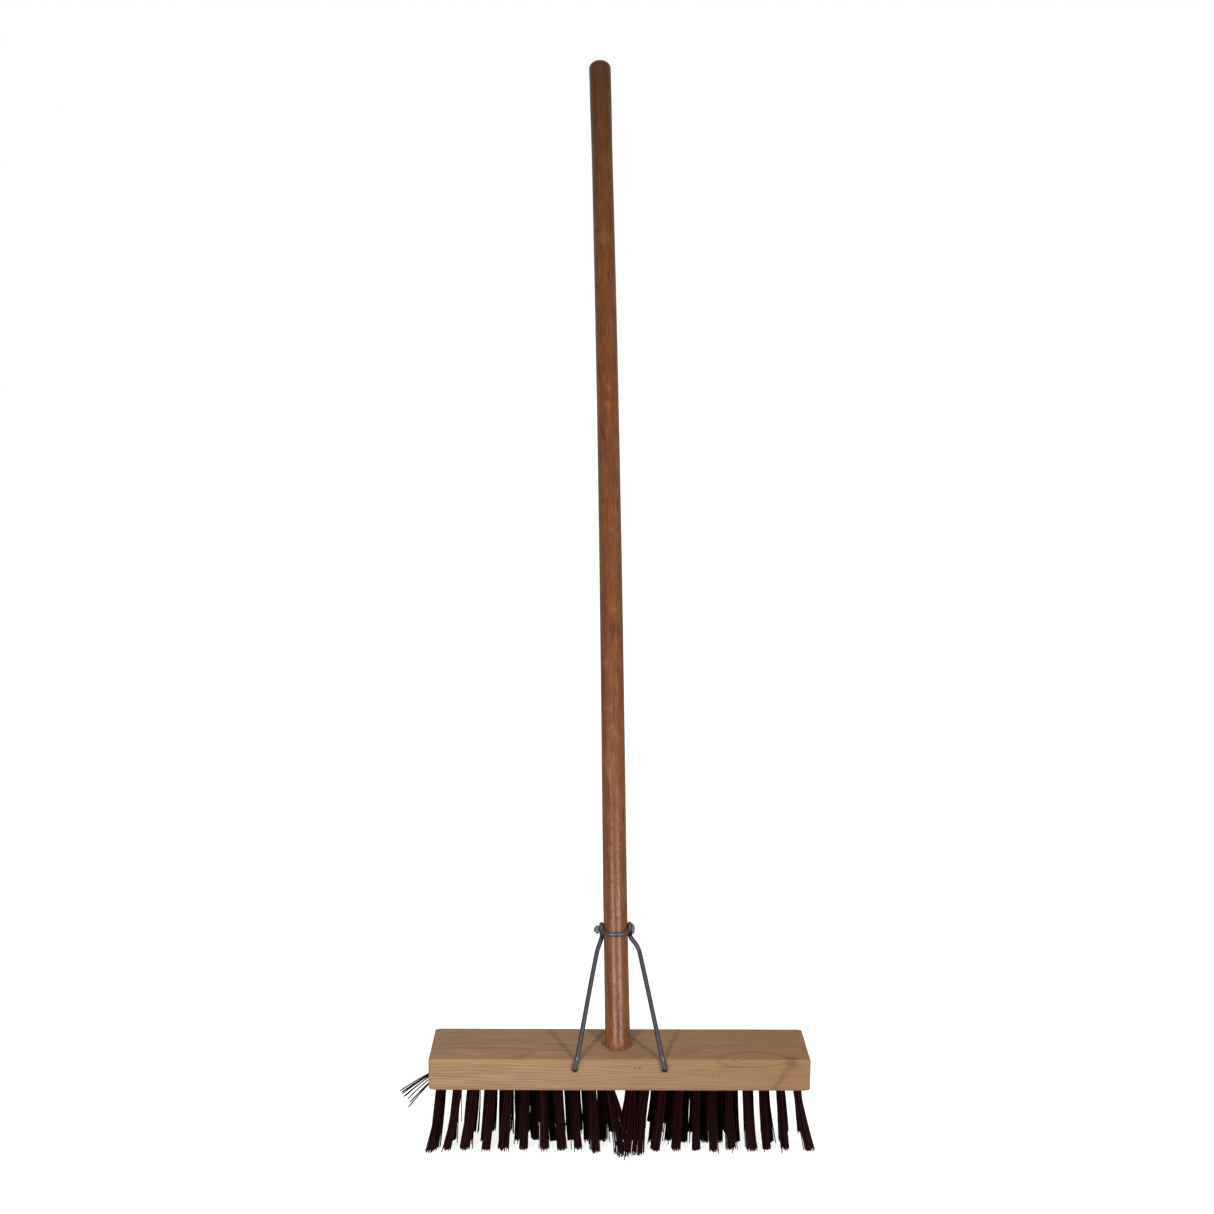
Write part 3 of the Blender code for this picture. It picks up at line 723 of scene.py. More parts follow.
def varnished_material(settings):
    """Stained and varnished wood: straight grain, short pores, a few dark flecks and a glossy coat."""
    wood = Shader("varnished_wood", {"Coat Weight": settings.gloss, "Coat Roughness": 0.3,
                                     "Specular IOR Level": 0.1})
    place = wood.place()
    x, y, z = wood.split(place)
    wander = wood.noise(place, 3.0, (3, 3, 1), detail=2.0)
    from_pith = wood.vector("LENGTH", wood.join(wood.math("ADD", x, 21 * MM),
                                                wood.math("ADD", y, 34 * MM), 0.0))
    depth = wood.math("MULTIPLY_ADD", wander, 9 * MM, from_pith)
    turns = wood.math("FRACT", wood.math("DIVIDE", depth, 2.3 * MM))
    rings = wood.ramp(turns, (0.0, 0.0), (0.6, 0.35), (0.9, 1.0), (1.0, 0.0))
    fibre = wood.noise(place, 50.0, (14, 14, 0.28), detail=4.0, rough=0.65)
    pores = wood.noise(place, 240.0, (5, 5, 0.14), detail=1.0)
    cloud = wood.noise(place, 5.0, (3, 3, 1), detail=3.0)
    curl = wood.noise(place, 85.0, (1.2, 1.2, 0.5), detail=4.0, rough=0.7, distort=0.6)
    colour = wood.mix(wood.math("MULTIPLY", rings, 0.6), tuple(settings.pale), tuple(settings.dark))
    colour = wood.tint(
        colour,
        (fibre, 0.3, 0.72, 0.75, tuple(settings.dark)),
        (cloud, 0.35, 0.7, 0.5, RED_STAIN),
        (curl, 0.42, 0.7, 0.5, DARK_CURL),
    )
    colour = wood.mix(wood.ramp(curl, (0.28, 0.4), (0.45, 0.0)), colour, PALE_CURL)
    colour = wood.tint(colour, (pores, 0.6, 0.72, 0.7, PORE))

    # The stick darkens towards its top end, and its foot stays paler.
    height = wood.math("DIVIDE", z, HANDLE_LENGTH)
    colour = wood.mix(wood.ramp(height, (0.15, 0.0), (0.75, 0.1), (0.97, 0.7)), colour, TOP_END_DARKENING)
    for fleck_x, fleck_y, fleck_z, wide, tall in HANDLE_FLECKS:
        offset = wood.vector("SUBTRACT", place, (fleck_x, fleck_y, fleck_z))
        reach = wood.vector("LENGTH", wood.vector("DIVIDE", offset, (wide, wide, tall)))
        colour = wood.mix(wood.math("MULTIPLY", wood.bell(reach, 1.0), 0.85), colour, HANDLE_FLECK)

    # The varnish is chipped where the stick was driven into the block.
    low = wood.math("SUBTRACT", 1.0, wood.math("DIVIDE", z, 7 * MM), clamp=True)
    chips = wood.ramp(wood.noise(place, 160.0, (3, 3, 0.8), detail=3.0), (0.53, 0.0), (0.62, 0.8))
    colour = wood.mix(wood.math("MULTIPLY", low, chips), colour, BARE_CHIP)
    rub = wood.noise(place, 30.0, (1, 1, 0.3), detail=4.0)
    roughness = wood.ramp(rub, (0.3, 0.36), (0.75, 0.55))
    wood.set(wood.surface, {"Base Color": colour, "Roughness": roughness})
    brushed = wood.noise(place, 620.0, (1, 1, 0.45), detail=3.0)
    wood.bump((rings, 0.12, 0.1 * MM), (brushed, 0.9, 0.3 * MM), (curl, 0.5, 0.3 * MM),
              (fibre, 0.3, 0.08 * MM))
    return wood.material


def handle_shape(settings):
    """Turn the stick: a domed end, a long slightly bowed shaft and a square seated end."""
    sides = 48
    levels = 46
    top = HANDLE_LENGTH - HANDLE_SEAT
    profile = [(0.02 * settings.radius, top)]
    for step in range(1, 11):
        angle = pi / 2 * step / 10
        profile.append((settings.radius * sin(angle) ** 0.8, top - DOME_HEIGHT * (1 - cos(angle))))
    shoulder = profile[-1][1]
    low = -HANDLE_SEAT + FOOT_CHAMFER
    for step in range(1, levels + 1):
        profile.append((settings.radius, shoulder + (low - shoulder) * step / levels))
    profile.append((settings.radius - FOOT_CHAMFER, -HANDLE_SEAT))
    rings = []
    for radius, z in profile:
        bow = settings.bow * sin(pi * max(0.0, z - BOW_START) / (top - BOW_START))
        radius *= 1 + GRIP_SWELL * max(0.0, 1 - (top - z) / GRIP_REACH) ** 0.5
        radius *= 1 + FOOT_SWELL * max(0.0, 1 - max(0.0, z) / FOOT_REACH)
        ring = []
        for side in range(sides):
            angle = tau * side / sides
            lump = 1 + 0.006 * noise.noise(Vector((cos(angle), sin(angle), z * 9)))
            ring.append(Vector((radius * lump * cos(angle) + bow, radius * lump * sin(angle), z)))
        rings.append(ring)
    return tube_mesh(rings, "handle_stick", radians(50))


class PUSHBROOM_OT_make_handle(bpy.types.Operator):
    """Build the varnished handle"""

    bl_idname = "pushbroom.make_handle"
    bl_label = "Make Handle"

    def execute(self, context):
        settings = context.scene.push_broom.handle
        stick = new_object("handle_stick", handle_shape(settings), varnished_material(settings),
                           handle_matrix())
        bm = bmesh.new()
        side = Vector((settings.radius + 3 * MM, 0, 0))
        height = Vector((0, 0, CLAMP_HEIGHT))
        add_rod(bm, BOLT_HOLE_RADIUS, height - side, height + side, 20)
        hole = new_object("bolt_hole", mesh_from(bm, "bolt_hole"), place=handle_matrix())
        carve(stick, [hole], radians(50))
        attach(stick, "root")
        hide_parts("handle")
        return {"FINISHED"}


# ---------------------------------------------------------------- stay

# The saddle starts at this angle round the handle on each side. It sags by a quarter of its drop there
# and by all of it before the front of the handle.
SADDLE_DROP = 6.2 * MM
SADDLE_WRAP = radians(66)
SADDLE_START = 0.25
SADDLE_FALL = 1.3

FOOT_SHADE = (0.03, 0.02, 0.018)


def zinc_material(settings):
    """Galvanised wire: dull zinc with a fine bloom, scuffs, dark handling marks and painted shade where it
    goes into the feet.
    """
    zinc = Shader("galvanised_zinc", {"Metallic": 0.85})
    place = zinc.place()
    bloom = zinc.noise(place, 420.0, detail=3.0)
    crystals = zinc.add("TexVoronoi", {"Vector": place, "Scale": 380.0}, feature="F1").outputs["Color"]
    crystal = zinc.split(crystals)[0]
    cloud = zinc.noise(place, 45.0, detail=3.0)
    tone = tuple(settings.zinc)
    dark = tuple(channel * 0.45 for channel in tone)
    pale = tuple(min(1.0, channel * 1.45) for channel in tone)
    colour = zinc.tint(tone, (cloud, 0.35, 0.7, 0.7, dark))
    colour = zinc.mix(zinc.math("MULTIPLY", crystal, 0.35), colour, pale)
    colour = zinc.tint(colour, (bloom, 0.55, 0.75, 0.6, pale))
    # Painted shade on the wire where it goes into the holes of the feet.
    foot = foot_place(1).z
    height = zinc.math("MULTIPLY_ADD", cloud, 2 * MM, zinc.split(place)[2])
    unshaded = zinc.add("MapRange", {"Value": height, "From Min": foot + 1.5 * MM, "From Max": foot + 5 * MM})
    colour = zinc.mix(unshaded.outputs["Result"], FOOT_SHADE, colour)
    roughness = zinc.ramp(cloud, (0.3, 0.34), (0.75, 0.58))
    zinc.set(zinc.surface, {"Base Color": colour, "Roughness": roughness})
    zinc.bump((bloom, 0.3, 0.05 * MM), (crystal, 0.15, 0.03 * MM))
    return zinc.material


def eye_place(wire_radius):
    """Say how far the middle of the wire runs beside the middle of the handle."""
    return HANDLE_RADIUS + GAP + wire_radius


def eye_points(side, eye_x):
    """List the eye's points on one side: up behind the bolt, over it and down in front of it."""
    start = radians(-15)
    points = []
    for step in range(9):
        angle = start + (pi - start) * step / 8
        points.append(at_clamp(side * eye_x, EYE_RADIUS * cos(angle), EYE_RADIUS * sin(angle)))
    return points


def saddle_points(side, eye_x):
    """List the points from one eye, round the front of the handle, towards its middle."""
    points = []
    for step in range(4):
        share = step / 4
        angle = SADDLE_WRAP * (1 - share)
        fall = sin(pi / 2 * min(1, SADDLE_FALL * share))
        drop = SADDLE_DROP * (SADDLE_START + (1 - SADDLE_START) * fall)
        points.append(at_clamp(side * eye_x * sin(angle), -eye_x * cos(angle), -drop))
    return points


def leg_points(side, kink):
    """List one leg's points from its foot in the block up to its kink below the eye."""
    hole = foot_place(side)
    bend = WIRE_TO_FACE + 0.4 * MM
    points = [hole + Vector((0, FOOT_DEPTH, 0)), hole + Vector((0, FOOT_DEPTH / 2, 0))]
    for step in range(5):
        angle = pi / 2 * step / 4
        points.append(hole + Vector((0, bend * (1 - sin(angle)) - WIRE_TO_FACE, bend * (1 - cos(angle)))))
    for inward, back, rise in LEG_AT_EDGE:
        points.append(hole + Vector((-side * inward, back - WIRE_TO_FACE, FOOT_BELOW_TOP + rise)))
    return points + [at_clamp(*place) for place in kink]


def stay_path(wire_radius):
    """List the whole wire's points, from the left foot to the right foot."""
    eye_x = eye_place(wire_radius)
    left_side = leg_points(-1, LEFT_KINK) + eye_points(-1, eye_x) + saddle_points(-1, eye_x)
    right_side = leg_points(1, RIGHT_KINK) + eye_points(1, eye_x) + saddle_points(1, eye_x)
    return left_side + [at_clamp(0, -eye_x, -SADDLE_DROP)] + list(reversed(right_side))


class PUSHBROOM_OT_make_stay(bpy.types.Operator):
    """Bend the wire stay"""

    bl_idname = "pushbroom.make_stay"
    bl_label = "Make Stay"

    def execute(self, context):
        settings = context.scene.push_broom.stay
        data = bpy.data.curves.new("bent_stay", "CURVE")
        data.dimensions = "3D"
        data.bevel_depth = settings.wire_radius
        data.bevel_resolution = 4
        data.use_fill_caps = True
        line = smooth_line(stay_path(settings.wire_radius), 4)
        spline = data.splines.new("POLY")
        spline.points.add(len(line) - 1)
        for point, place in zip(spline.points, line):
            point.co = (*place, 1)
        spline.use_smooth = True
        stay = new_object("bent_stay", data, zinc_material(settings))
        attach(stay, "root")
        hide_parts("stay_wire")
        return {"FINISHED"}


# ---------------------------------------------------------------- fasteners

# The bolt has a low round head, a plain shank and an M5 thread. The nut is chamfered by a double cone,
# whose radii are given at the nut's waist and at its faces.
BOLT_RADIUS = 2.5 * MM
BOLT_HEAD_RADIUS = 5.75 * MM
BOLT_HEAD_HEIGHT = 2.7 * MM
BOLT_HEAD_RIM = 0.25 * MM
BOLT_REACH = 22.7 * MM
SHANK_REACH = 9 * MM
THREAD_PITCH = 0.8 * MM
THREAD_DEPTH = 0.42 * MM
STEPS_PER_TURN = 8
NUT_HALF_WIDTH = 4 * MM
NUT_HEIGHT = 3.8 * MM
NUT_BORE_RADIUS = 2.65 * MM
NUT_CONE = (5.6 * MM, 3.95 * MM)
NUT_TURN = radians(12)


def plated_material(settings):
    """Zinc-plated steel: fine brushing, dull patches and dark patches."""
    steel = Shader("plated_steel", {"Metallic": 0.9})
    place = steel.place()
    cloud = steel.noise(place, 160.0, detail=4.0)
    brush = steel.noise(place, 700.0, (1, 1, 0.1), detail=2.0)
    tone = tuple(settings.plated)
    dark = tuple(channel * 0.35 for channel in tone)
    colour = steel.tint(tone, (cloud, 0.4, 0.72, 0.8, dark))
    roughness = steel.ramp(cloud, (0.3, 0.28), (0.7, 0.55))
    steel.set(steel.surface, {"Base Color": colour, "Roughness": roughness})
    steel.bump((brush, 0.2, 0.03 * MM), (cloud, 0.2, 0.05 * MM))
    return steel.material


def threaded_rings(start, end, sides):
    """List the rings of the bolt's thread along Z, which fades out at its end."""
    count = int(abs(end - start) / THREAD_PITCH * STEPS_PER_TURN)
    rings = []
    for i in range(count + 1):
        z = start + (end - start) * i / count
        fade = min(1.0, (count - i) / (STEPS_PER_TURN * 0.7))
        ring = []
        for j in range(sides):
            angle = tau * j / sides
            phase = (abs(z - start) / THREAD_PITCH - j / sides) % 1.0
            crest = abs(phase * 2 - 1)
            radius = BOLT_RADIUS - THREAD_DEPTH * (1 - crest) - THREAD_DEPTH * 0.9 * (1 - fade)
            ring.append(Vector((radius * cos(angle), radius * sin(angle), z)))
        rings.append(ring)
    return rings


def bolt_shape(outside_eye):
    """Model the bolt along Z: low round head, plain shank and threaded end."""
    sides = 32
    steps = 8
    profile = [(0.4 * MM, outside_eye + BOLT_HEAD_HEIGHT)]
    for step in range(1, steps):
        angle = pi / 2 * step / steps
        profile.append((BOLT_HEAD_RADIUS * sin(angle), outside_eye + BOLT_HEAD_HEIGHT * cos(angle) ** 0.9))
    profile += [
        (BOLT_HEAD_RADIUS, outside_eye + BOLT_HEAD_RIM),
        (5.6 * MM, outside_eye),
        (BOLT_RADIUS, outside_eye),
        (BOLT_RADIUS, -SHANK_REACH),
    ]
    turns = [tau * j / sides for j in range(sides)]
    rings = [[Vector((radius * cos(turn), radius * sin(turn), z)) for turn in turns] for radius, z in profile]
    rings += threaded_rings(-SHANK_REACH - 0.2 * MM, -BOLT_REACH, sides)
    return tube_mesh(rings, "clamp_bolt_part", radians(35))


def nut_shape(inner, outer):
    """Model the hex nut along Z, with both faces chamfered by a cone, and its hole."""
    bm = bmesh.new()
    corner = NUT_HALF_WIDTH / cos(pi / 6)
    add_rod(bm, corner, Vector((0, 0, inner)), Vector((0, 0, outer)), 6)
    nut = new_object("hex_nut", mesh_from(bm, "hex_nut", radians(20)))
    bm = bmesh.new()
    middle = (inner + outer) / 2
    half = abs(outer - inner) / 2
    waist, face = NUT_CONE
    for end in (-1, 1):
        add_rod(bm, waist, Vector((0, 0, middle)), Vector((0, 0, middle + end * half)), 48, face)
    bmesh.ops.remove_doubles(bm, verts=bm.verts, dist=0.01 * MM)
    middle_faces = [face for face in bm.faces if abs(face.calc_center_median().z - middle) < 0.01 * MM]
    bmesh.ops.delete(bm, geom=middle_faces, context="FACES_ONLY")
    cone = new_object("nut_chamfer", mesh_from(bm, "nut_chamfer"))
    shave = nut.modifiers.new("chamfer", "BOOLEAN")
    shave.operation = "INTERSECT"
    shave.solver = "EXACT"
    shave.object = cone
    settle(nut, cone)
    bm = bmesh.new()
    add_rod(bm, NUT_BORE_RADIUS, Vector((0, 0, inner + 1 * MM)), Vector((0, 0, outer - 1 * MM)), 32)
    carve(nut, [new_object("nut_bore", mesh_from(bm, "nut_bore"))], radians(20))
    soften = nut.modifiers.new("soften", "BEVEL")
    soften.width = 0.12 * MM
    soften.segments = 2
    soften.limit_method = "ANGLE"
    settle(nut)
    nut.data.shade_smooth()
    nut.data.set_sharp_from_angle(angle=radians(25))
    return nut


class PUSHBROOM_OT_make_fasteners(bpy.types.Operator):
    """Build the clamp bolt and its nut, and plate the nail"""

    bl_idname = "pushbroom.make_fasteners"
    bl_label = "Make Fasteners"

    def execute(self, context):
        broom = context.scene.push_broom
        steel = plated_material(broom.stay)
        outside_eye = eye_place(broom.stay.wire_radius) + broom.stay.wire_radius + 0.1 * MM
        across = handle_matrix() @ Matrix.Translation((0, 0, CLAMP_HEIGHT)) @ Matrix.Rotation(pi / 2, 4, "Y")
        bolt = new_object("clamp_bolt_part", bolt_shape(outside_eye), steel, across)
        nut = nut_shape(-outside_eye, -outside_eye - NUT_HEIGHT)
        nut.data.materials.append(steel)
        nut.matrix_world = across @ Matrix.Rotation(NUT_TURN, 4, "Z")
        for part, node in ((bolt, "clamp_bolt"), (nut, "clamp_nut")):
            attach(part, "root")
            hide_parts(node)
        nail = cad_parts["handle_nail"]
        nail.data.materials.clear()
        nail.data.materials.append(steel)
        return {"FINISHED"}


# ---------------------------------------------------------------- tufts

def fan(x):
    """Say how far a tuft at x leans along the block: inwards at the middle, outwards at the ends."""
    reach = (abs(x) - FIRST_TUFT_X) / (BLOCK_HALF.x - FIRST_TUFT_X)
    lean = FAN_AT_CENTRE + (FAN_AT_END - FAN_AT_CENTRE) * max(reach, 0) ** FAN_GROWTH
    return lean if x > 0 else -lean


def row_places(staggered, drift, clumps):
    """List one row's clumps from left to right, each a list of its tufts' x places."""
    start = FIRST_TUFT_X + (TUFT_PITCH / 2 if staggered else 0)
    right = []
    count = 0
    for size in clumps:
        places = []
        for i in range(count, count + size):
            x = start + TUFT_PITCH * i
            places.append(x + drift * (max(0, x - DRIFT_START) / DRIFT_REACH) ** DRIFT_GROWTH)
        right.append(places)
        count += size
    left = [[-x for x in reversed(places)] for places in reversed(right)]
    return left + right


STRAND_DUST = (0.15, 0.10, 0.085)


def bristle_material(settings):
    """Extruded plastic strands: dark red-brown, each a little different, dusty towards the tips."""
    strand = Shader("dark_bristle_plastic", {"Specular IOR Level": 0.08, "Specular Tint": (0.8, 0.25, 0.3)})
    place = strand.place()
    cloud = strand.noise(place, 160.0, (1, 1, 0.4), detail=3.0)
    dust = strand.math("MULTIPLY", cloud, strand.attribute("drop"))
    faded = strand.ramp(strand.attribute("tone"), (0.0, 0.0), (0.6, 0.25), (1.0, 1.0))
    colour = strand.mix(faded, tuple(settings.colour), tuple(settings.faded))
    colour = strand.mix(strand.math("MULTIPLY", dust, 0.14), colour, STRAND_DUST)
    scratch = strand.noise(place, 900.0, (1, 1, 0.06), detail=2.0)
    roughness = strand.ramp(scratch, (0.3, 0.36), (0.7, 0.56))
    strand.set(strand.surface, {"Base Color": colour, "Roughness": roughness})
    strand.bump((scratch, 0.3, 0.04 * MM))
    return strand.material


def strand_rings(line, radius, sides, twist):
    """List the rings round a strand's line."""
    rings = []
    for i, point in enumerate(line):
        ahead = line[min(i + 1, len(line) - 1)] - line[max(i - 1, 0)]
        turn = ahead.to_track_quat("Z", "X").to_matrix()
        ring = []
        for j in range(sides):
            angle = twist + tau * j / sides
            ring.append(point + turn @ Vector((radius * cos(angle), radius * 0.85 * sin(angle), 0)))
        rings.append(ring)
    return rings


class Bunch:
    """A growing mesh of strands."""

    def __init__(self):
        self.points = []
        self.faces = []
        self.tones = []
        self.drops = []

    def add(self, line, radius, tone, twist, sides=6):
        """Add one strand along a line."""
        points, faces = grid_tube(strand_rings(line, radius, sides, twist))
        first = len(self.points)
        self.points += points
        self.faces += [tuple(first + corner for corner in face) for face in faces]
        self.tones += [tone] * len(points)
        self.drops += [min(1.0, max(0.0, 1 - point.z / BLOCK_LOW.z)) for point in points]

    def finish(self, name, material):
        """Make the object."""
        data = bpy.data.meshes.new(name)
        data.from_pydata(self.points, [], self.faces)
        for label, values in (("tone", self.tones), ("drop", self.drops)):
            layer = data.attributes.new(label, "FLOAT", "POINT")
            layer.data.foreach_set("value", values)
        data.shade_smooth()
        data.set_sharp_from_angle(angle=radians(50))
        return new_object(name, data, material)


def bend(start, knee, end, steps):
    """Run a strand's line from its root past a knee to its tip."""
    line = []
    for i in range(steps + 1):
        t = i / steps
        line.append(start * (1 - t) ** 2 + knee * 2 * t * (1 - t) + end * t ** 2)
    return line


# Most tufts: height of the cut ends above the floor, their spread there, in the front row and behind it,
# their spread at the hole, and how far the strands hang straight down before they lean.
USUAL_CUT = 3.0 * MM
USUAL_SPREAD = 4.6 * MM
HIDDEN_SPREAD = 4.3 * MM
ROOT_SPREAD = 3.45 * MM
USUAL_HANG = 0.3

# How deep the strands are rooted, the share of them that has come loose, and their least height.
ROOT_DEPTH = 6 * MM
LOOSE_SHARE = 0.045
LEAST_CUT = 0.4 * MM
GOLDEN_ANGLE = pi * (3 - 5 ** 0.5)

# Tufts that have been pushed out of line:
# lean along the block, lean across it, height of the cut ends, spread, and how far they hang straight.
WAYWARD_TUFTS = {
    "front_tuft_01": (-12.0 * MM, -3.0 * MM, 3.0 * MM, 6.2 * MM, 0.25),
    "front_tuft_02": (-12.8 * MM, -3.0 * MM, 3.2 * MM, 4.3 * MM, 0.1),
    "front_tuft_03": (-10.8 * MM, -3.0 * MM, 2.8 * MM, 5.0 * MM, 0.3),
    "front_tuft_04": (-7.4 * MM, -3.0 * MM, 3.0 * MM, 5.0 * MM, 0.2),
    "front_tuft_05": (-5.8 * MM, -3.0 * MM, 3.0 * MM, 5.4 * MM, 0.3),
    "front_tuft_06": (-2.0 * MM, -3.0 * MM, 3.0 * MM, 5.4 * MM, 0.3),
    "front_tuft_07": (2.9 * MM, -3.0 * MM, 3.2 * MM, 5.0 * MM, 0.4),
    "front_tuft_10": (4.5 * MM, -3.5 * MM, 3.0 * MM, 5.4 * MM, 0.3),
    "front_tuft_11": (13.0 * MM, -7.0 * MM, 1.2 * MM, 7.6 * MM, -0.5),
    "front_tuft_12": (-8.0 * MM, -8.5 * MM, 0.8 * MM, 8.8 * MM, -0.7),
    "front_tuft_13": (-9.5 * MM, -8.0 * MM, 0.8 * MM, 7.0 * MM, -0.1),
    "front_tuft_14": (-7.5 * MM, -4.0 * MM, 2.4 * MM, 5.6 * MM, 0.2),
    "front_tuft_15": (-4.7 * MM, -3.0 * MM, 3.0 * MM, 5.0 * MM, 0.3),
    "front_tuft_18": (1.8 * MM, -3.0 * MM, 3.0 * MM, 5.4 * MM, 0.3),
    "front_tuft_19": (6.1 * MM, -3.0 * MM, 2.8 * MM, 5.6 * MM, 0.2),
    "front_tuft_20": (6.8 * MM, -3.0 * MM, 3.0 * MM, 4.8 * MM, 0.3),
    "front_tuft_21": (8.2 * MM, -3.0 * MM, 3.0 * MM, 4.4 * MM, 0.2),
    "front_tuft_22": (14.4 * MM, -3.0 * MM, 3.0 * MM, 4.9 * MM, 0.3),
}


def add_tuft(bunch, rng, settings, root, shape):
    """Add one tuft's strands, which stay close together down to their flat-cut ends."""
    lean_x, lean_y, cut, wide, hang = shape
    turn = rng.uniform(0, tau)
    wide *= rng.uniform(0.87, 1.15)
    cut += rng.uniform(-0.5, 1.0) * MM
    tilt = rng.gauss(0, 0.12)
    drift = Vector((rng.gauss(0, 1.1 * MM), rng.gauss(0, 0.9 * MM), 0))
    waist = Vector((rng.gauss(0, 1.6 * MM), rng.gauss(0, 1.2 * MM), 0))
    for i in range(settings.strands):
        share = ((i + 0.5) / settings.strands) ** 0.5
        angle = turn + GOLDEN_ANGLE * i
        away = Vector((cos(angle), sin(angle), 0))
        start = root + away * share * ROOT_SPREAD + Vector((0, 0, ROOT_DEPTH))
        loose = rng.random() < LOOSE_SHARE
        spread = wide * share * rng.uniform(0.85, 1.08) + (rng.uniform(1.5, 4) * MM if loose else 0)
        tip = root + Vector((lean_x, lean_y, 0)) + drift + away * spread
        tip.z = cut + away.x * spread * tilt + rng.uniform(-0.5, 1) * settings.ragged
        if loose:
            tip.z -= 2 * MM
        tip.z = max(LEAST_CUT, tip.z)
        knee = start.lerp(tip, 0.45)
        straight = Vector((start.x, start.y, knee.z))
        knee += (straight - knee) * (hang + rng.uniform(-0.15, 0.15)) + waist
        radius = settings.radius * rng.uniform(0.88, 1.1)
        bunch.add(bend(start, knee, tip, 6), radius, rng.random(), rng.uniform(0, tau))


# Each strand that sticks out at the left end: its tip's slope below level, its reach in millimetres
# and its shift to the back.
SPLAYED_STRANDS = (
    (27.6, 71.0, 2.0), (28.6, 69.0, 1.0), (30.6, 70.0, 0.5), (33.0, 69.5, -1.5), (35.0, 67.0, 3.5),
    (37.6, 66.5, -1.0), (40.6, 69.0, 1.5), (43.4, 70.0, -1.0),
)
SPLAY_DROOP = 1.4
SPLAY_THICKER = 1.35


def add_splay(bunch, rng, settings, root):
    """Add the strands of the end tuft that have been bent out sideways and droop from there."""
    steps = 10
    for slope, reach, back in SPLAYED_STRANDS:
        out = Vector((-cos(radians(slope)), 0, -sin(radians(slope)))) * reach * MM
        mouth = root + Vector((rng.uniform(-2, 1) * MM, rng.uniform(-2, 2) * MM, 0))
        line = [mouth + Vector((0, 0, ROOT_DEPTH))]
        for i in range(steps + 1):
            share = i / steps
            line.append(mouth + Vector((out.x * share, back * MM * share, out.z * share ** SPLAY_DROOP)))
        bunch.add(line, settings.radius * SPLAY_THICKER, rng.uniform(0.0, 0.8), rng.uniform(0, tau))


class PUSHBROOM_OT_make_tufts(bpy.types.Operator):
    """Fill every tuft hole with strands"""

    bl_idname = "pushbroom.make_tufts"
    bl_label = "Make Tufts"

    def execute(self, context):
        settings = context.scene.push_broom.tufts
        plastic = bristle_material(settings)
        rng = random.Random(84)
        for label, row, lean_y, staggered, drift, clumps in ROWS:
            for number, places in enumerate(row_places(staggered, drift, clumps)):
                node = f"{label}_{number + 1:02d}"
                bunch = Bunch()
                for x in places:
                    root = Vector((BLOCK_MIDDLE.x + x, BLOCK_MIDDLE.y + row * TUFT_PITCH, BLOCK_LOW.z))
                    spread = USUAL_SPREAD if row == ROWS[0][1] else HIDDEN_SPREAD
                    usual = (fan(x), lean_y, USUAL_CUT, spread, USUAL_HANG)
                    add_tuft(bunch, rng, settings, root, WAYWARD_TUFTS.get(node, usual))
                    if node == SPLAYED_TUFT:
                        add_splay(bunch, rng, settings, root)
                strands = bunch.finish(f"strands_{node}", plastic)
                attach(strands, "root")
                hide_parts(node)
        return {"FINISHED"}


# ---------------------------------------------------------------- stage

# The two front lights, which look at the clamp: name and direction. Their height, distance and size.
LAMPS = (("left_light", radians(-26)), ("right_light", radians(35)))
LAMP_ELEVATION = radians(22)
LAMP_DISTANCE = 1.9
LAMP_SIZE = 0.16

# The camera: its place from the middle of the block's top front edge, its turn, pitch down and roll.
CAMERA_FROM_EDGE = Vector((-0.027, -1.400, 0.690))
CAMERA_TURN = radians(-0.47)
CAMERA_PITCH = radians(9.52)
CAMERA_ROLL = radians(0.36)


def seen_directly(nodes):
    """Give 1 for what the camera sees directly and 0 for what only lights the broom."""
    return nodes.add("LightPath").outputs["Is Camera Ray"]


def stage_floor(settings):
    """Lay a plain pale floor, lit up to the tone of the surroundings where the camera sees it."""
    bm = bmesh.new()
    bmesh.ops.create_circle(bm, cap_ends=True, segments=96, radius=30)
    paint = Shader("pale_floor", {"Roughness": 0.9, "Specular IOR Level": 0.1})
    glow = paint.math("MULTIPLY", seen_directly(paint), settings.floor_glow)
    paint.set(paint.surface, {"Base Color": tuple(settings.floor), "Emission Color": (1.0, 1.0, 1.0),
                              "Emission Strength": glow})
    floor = new_object("floor", mesh_from(bm, "floor"), paint.material)
    floor.location.z = -0.2 * MM


def stage_world(settings):
    """Surround the broom with white, which lights it softly, more from above and from behind."""
    world = bpy.data.worlds.new("studio")
    world.use_nodes = True
    bpy.context.scene.world = world
    sky = Nodes(world.node_tree)
    _, back, up = sky.split(sky.add("TexCoord").outputs["Generated"])
    overhead = sky.add("MapRange", {"Value": up, "From Min": 0.8, "From Max": 1.0,
                                    "To Min": settings.side_fill, "To Max": settings.top_fill},
                       interpolation_type="SMOOTHSTEP")
    behind = sky.add("MapRange", {"Value": back, "From Min": 0.1, "From Max": 0.8,
                                  "To Max": settings.back_fill}, interpolation_type="SMOOTHSTEP")
    light = sky.math("ADD", overhead.outputs["Result"], behind.outputs["Result"])
    strength = sky.add("Mix", {"Factor": seen_directly(sky), "A": light, "B": 1.0})
    background = sky.tree.nodes["Background"]
    sky.set(background, {"Color": (1, 1, 1), "Strength": strength.outputs["Result"]})


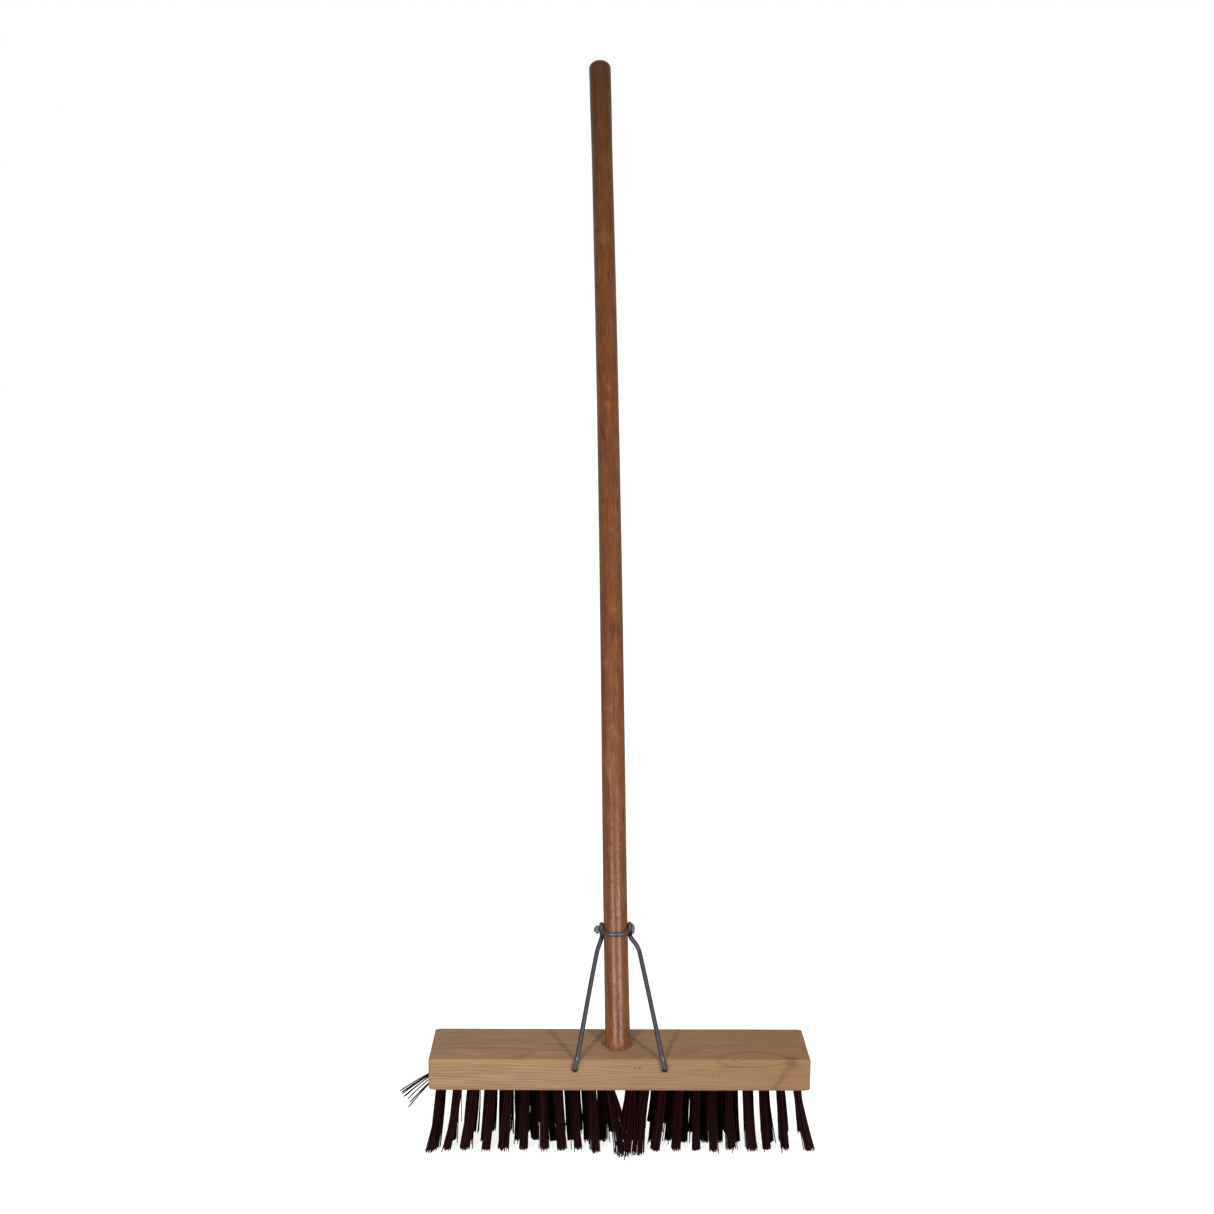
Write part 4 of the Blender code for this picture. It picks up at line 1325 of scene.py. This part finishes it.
def stage_light(name, azimuth, power):
    """Hang one small soft light that looks at the clamp."""
    target = at_clamp(0, 0, 0)
    lamp = bpy.data.lights.new(name, "AREA")
    lamp.shape = "DISK"
    lamp.size = LAMP_SIZE
    lamp.energy = power
    item = new_object(name, lamp)
    level = cos(LAMP_ELEVATION)
    away = Vector((sin(azimuth) * level, -cos(azimuth) * level, sin(LAMP_ELEVATION)))
    item.location = target + away * LAMP_DISTANCE
    item.rotation_euler = (-away).to_track_quat("-Z", "Y").to_euler()


class PUSHBROOM_OT_set_stage(bpy.types.Operator):
    """Set up the floor, the lights and the camera"""

    bl_idname = "pushbroom.set_stage"
    bl_label = "Set Stage"

    def execute(self, context):
        settings = context.scene.push_broom.stage
        stage_floor(settings)
        stage_world(settings)
        for name, azimuth in LAMPS:
            stage_light(name, azimuth, settings.key_power)
        lens = bpy.data.cameras.new("camera")
        lens.lens = settings.lens
        lens.sensor_width = 36
        camera = new_object("camera", lens)
        edge = Vector((BLOCK_MIDDLE.x, BLOCK_LOW.y, BLOCK_HIGH.z))
        aim = Matrix.Rotation(CAMERA_TURN, 4, "Z") @ Matrix.Rotation(pi / 2 - CAMERA_PITCH, 4, "X")
        aim = aim @ Matrix.Rotation(CAMERA_ROLL, 4, "Z")
        camera.matrix_world = Matrix.Translation(edge + CAMERA_FROM_EDGE) @ aim
        context.scene.camera = camera
        context.scene.view_settings.view_transform = "Standard"
        return {"FINISHED"}


# ---------------------------------------------------------------- panel

OPERATORS = (
    PUSHBROOM_OT_make_block,
    PUSHBROOM_OT_make_handle,
    PUSHBROOM_OT_make_stay,
    PUSHBROOM_OT_make_fasteners,
    PUSHBROOM_OT_make_tufts,
    PUSHBROOM_OT_set_stage,
)


class PUSHBROOM_PT_panel(bpy.types.Panel):
    """List the broom's steps and settings"""

    bl_idname = "PUSHBROOM_PT_panel"
    bl_label = "Push Broom"
    bl_space_type = "VIEW_3D"
    bl_region_type = "UI"
    bl_category = "Push Broom"

    def draw(self, context):
        for operator in OPERATORS:
            self.layout.operator(operator.bl_idname)
        broom = context.scene.push_broom
        for part in (broom.block, broom.handle, broom.stay, broom.tufts, broom.stage):
            box = self.layout.box()
            for name in part.__annotations__:
                box.prop(part, name)


CLASSES = (
    BlockSettings,
    HandleSettings,
    StaySettings,
    TuftSettings,
    StageSettings,
    PushBroomSettings,
    *OPERATORS,
    PUSHBROOM_PT_panel,
)


def register():
    """Register the classes and the settings."""
    for cls in CLASSES:
        bpy.utils.register_class(cls)
    bpy.types.Scene.push_broom = PointerProperty(type=PushBroomSettings)


def unregister():
    """Remove the settings and the classes."""
    del bpy.types.Scene.push_broom
    for cls in reversed(CLASSES):
        bpy.utils.unregister_class(cls)


def main():
    """Build the broom and its stage."""
    register()
    for operator in OPERATORS:
        group, name = operator.bl_idname.split(".")
        getattr(getattr(bpy.ops, group), name)()


if __name__ == "__main__":
    main()
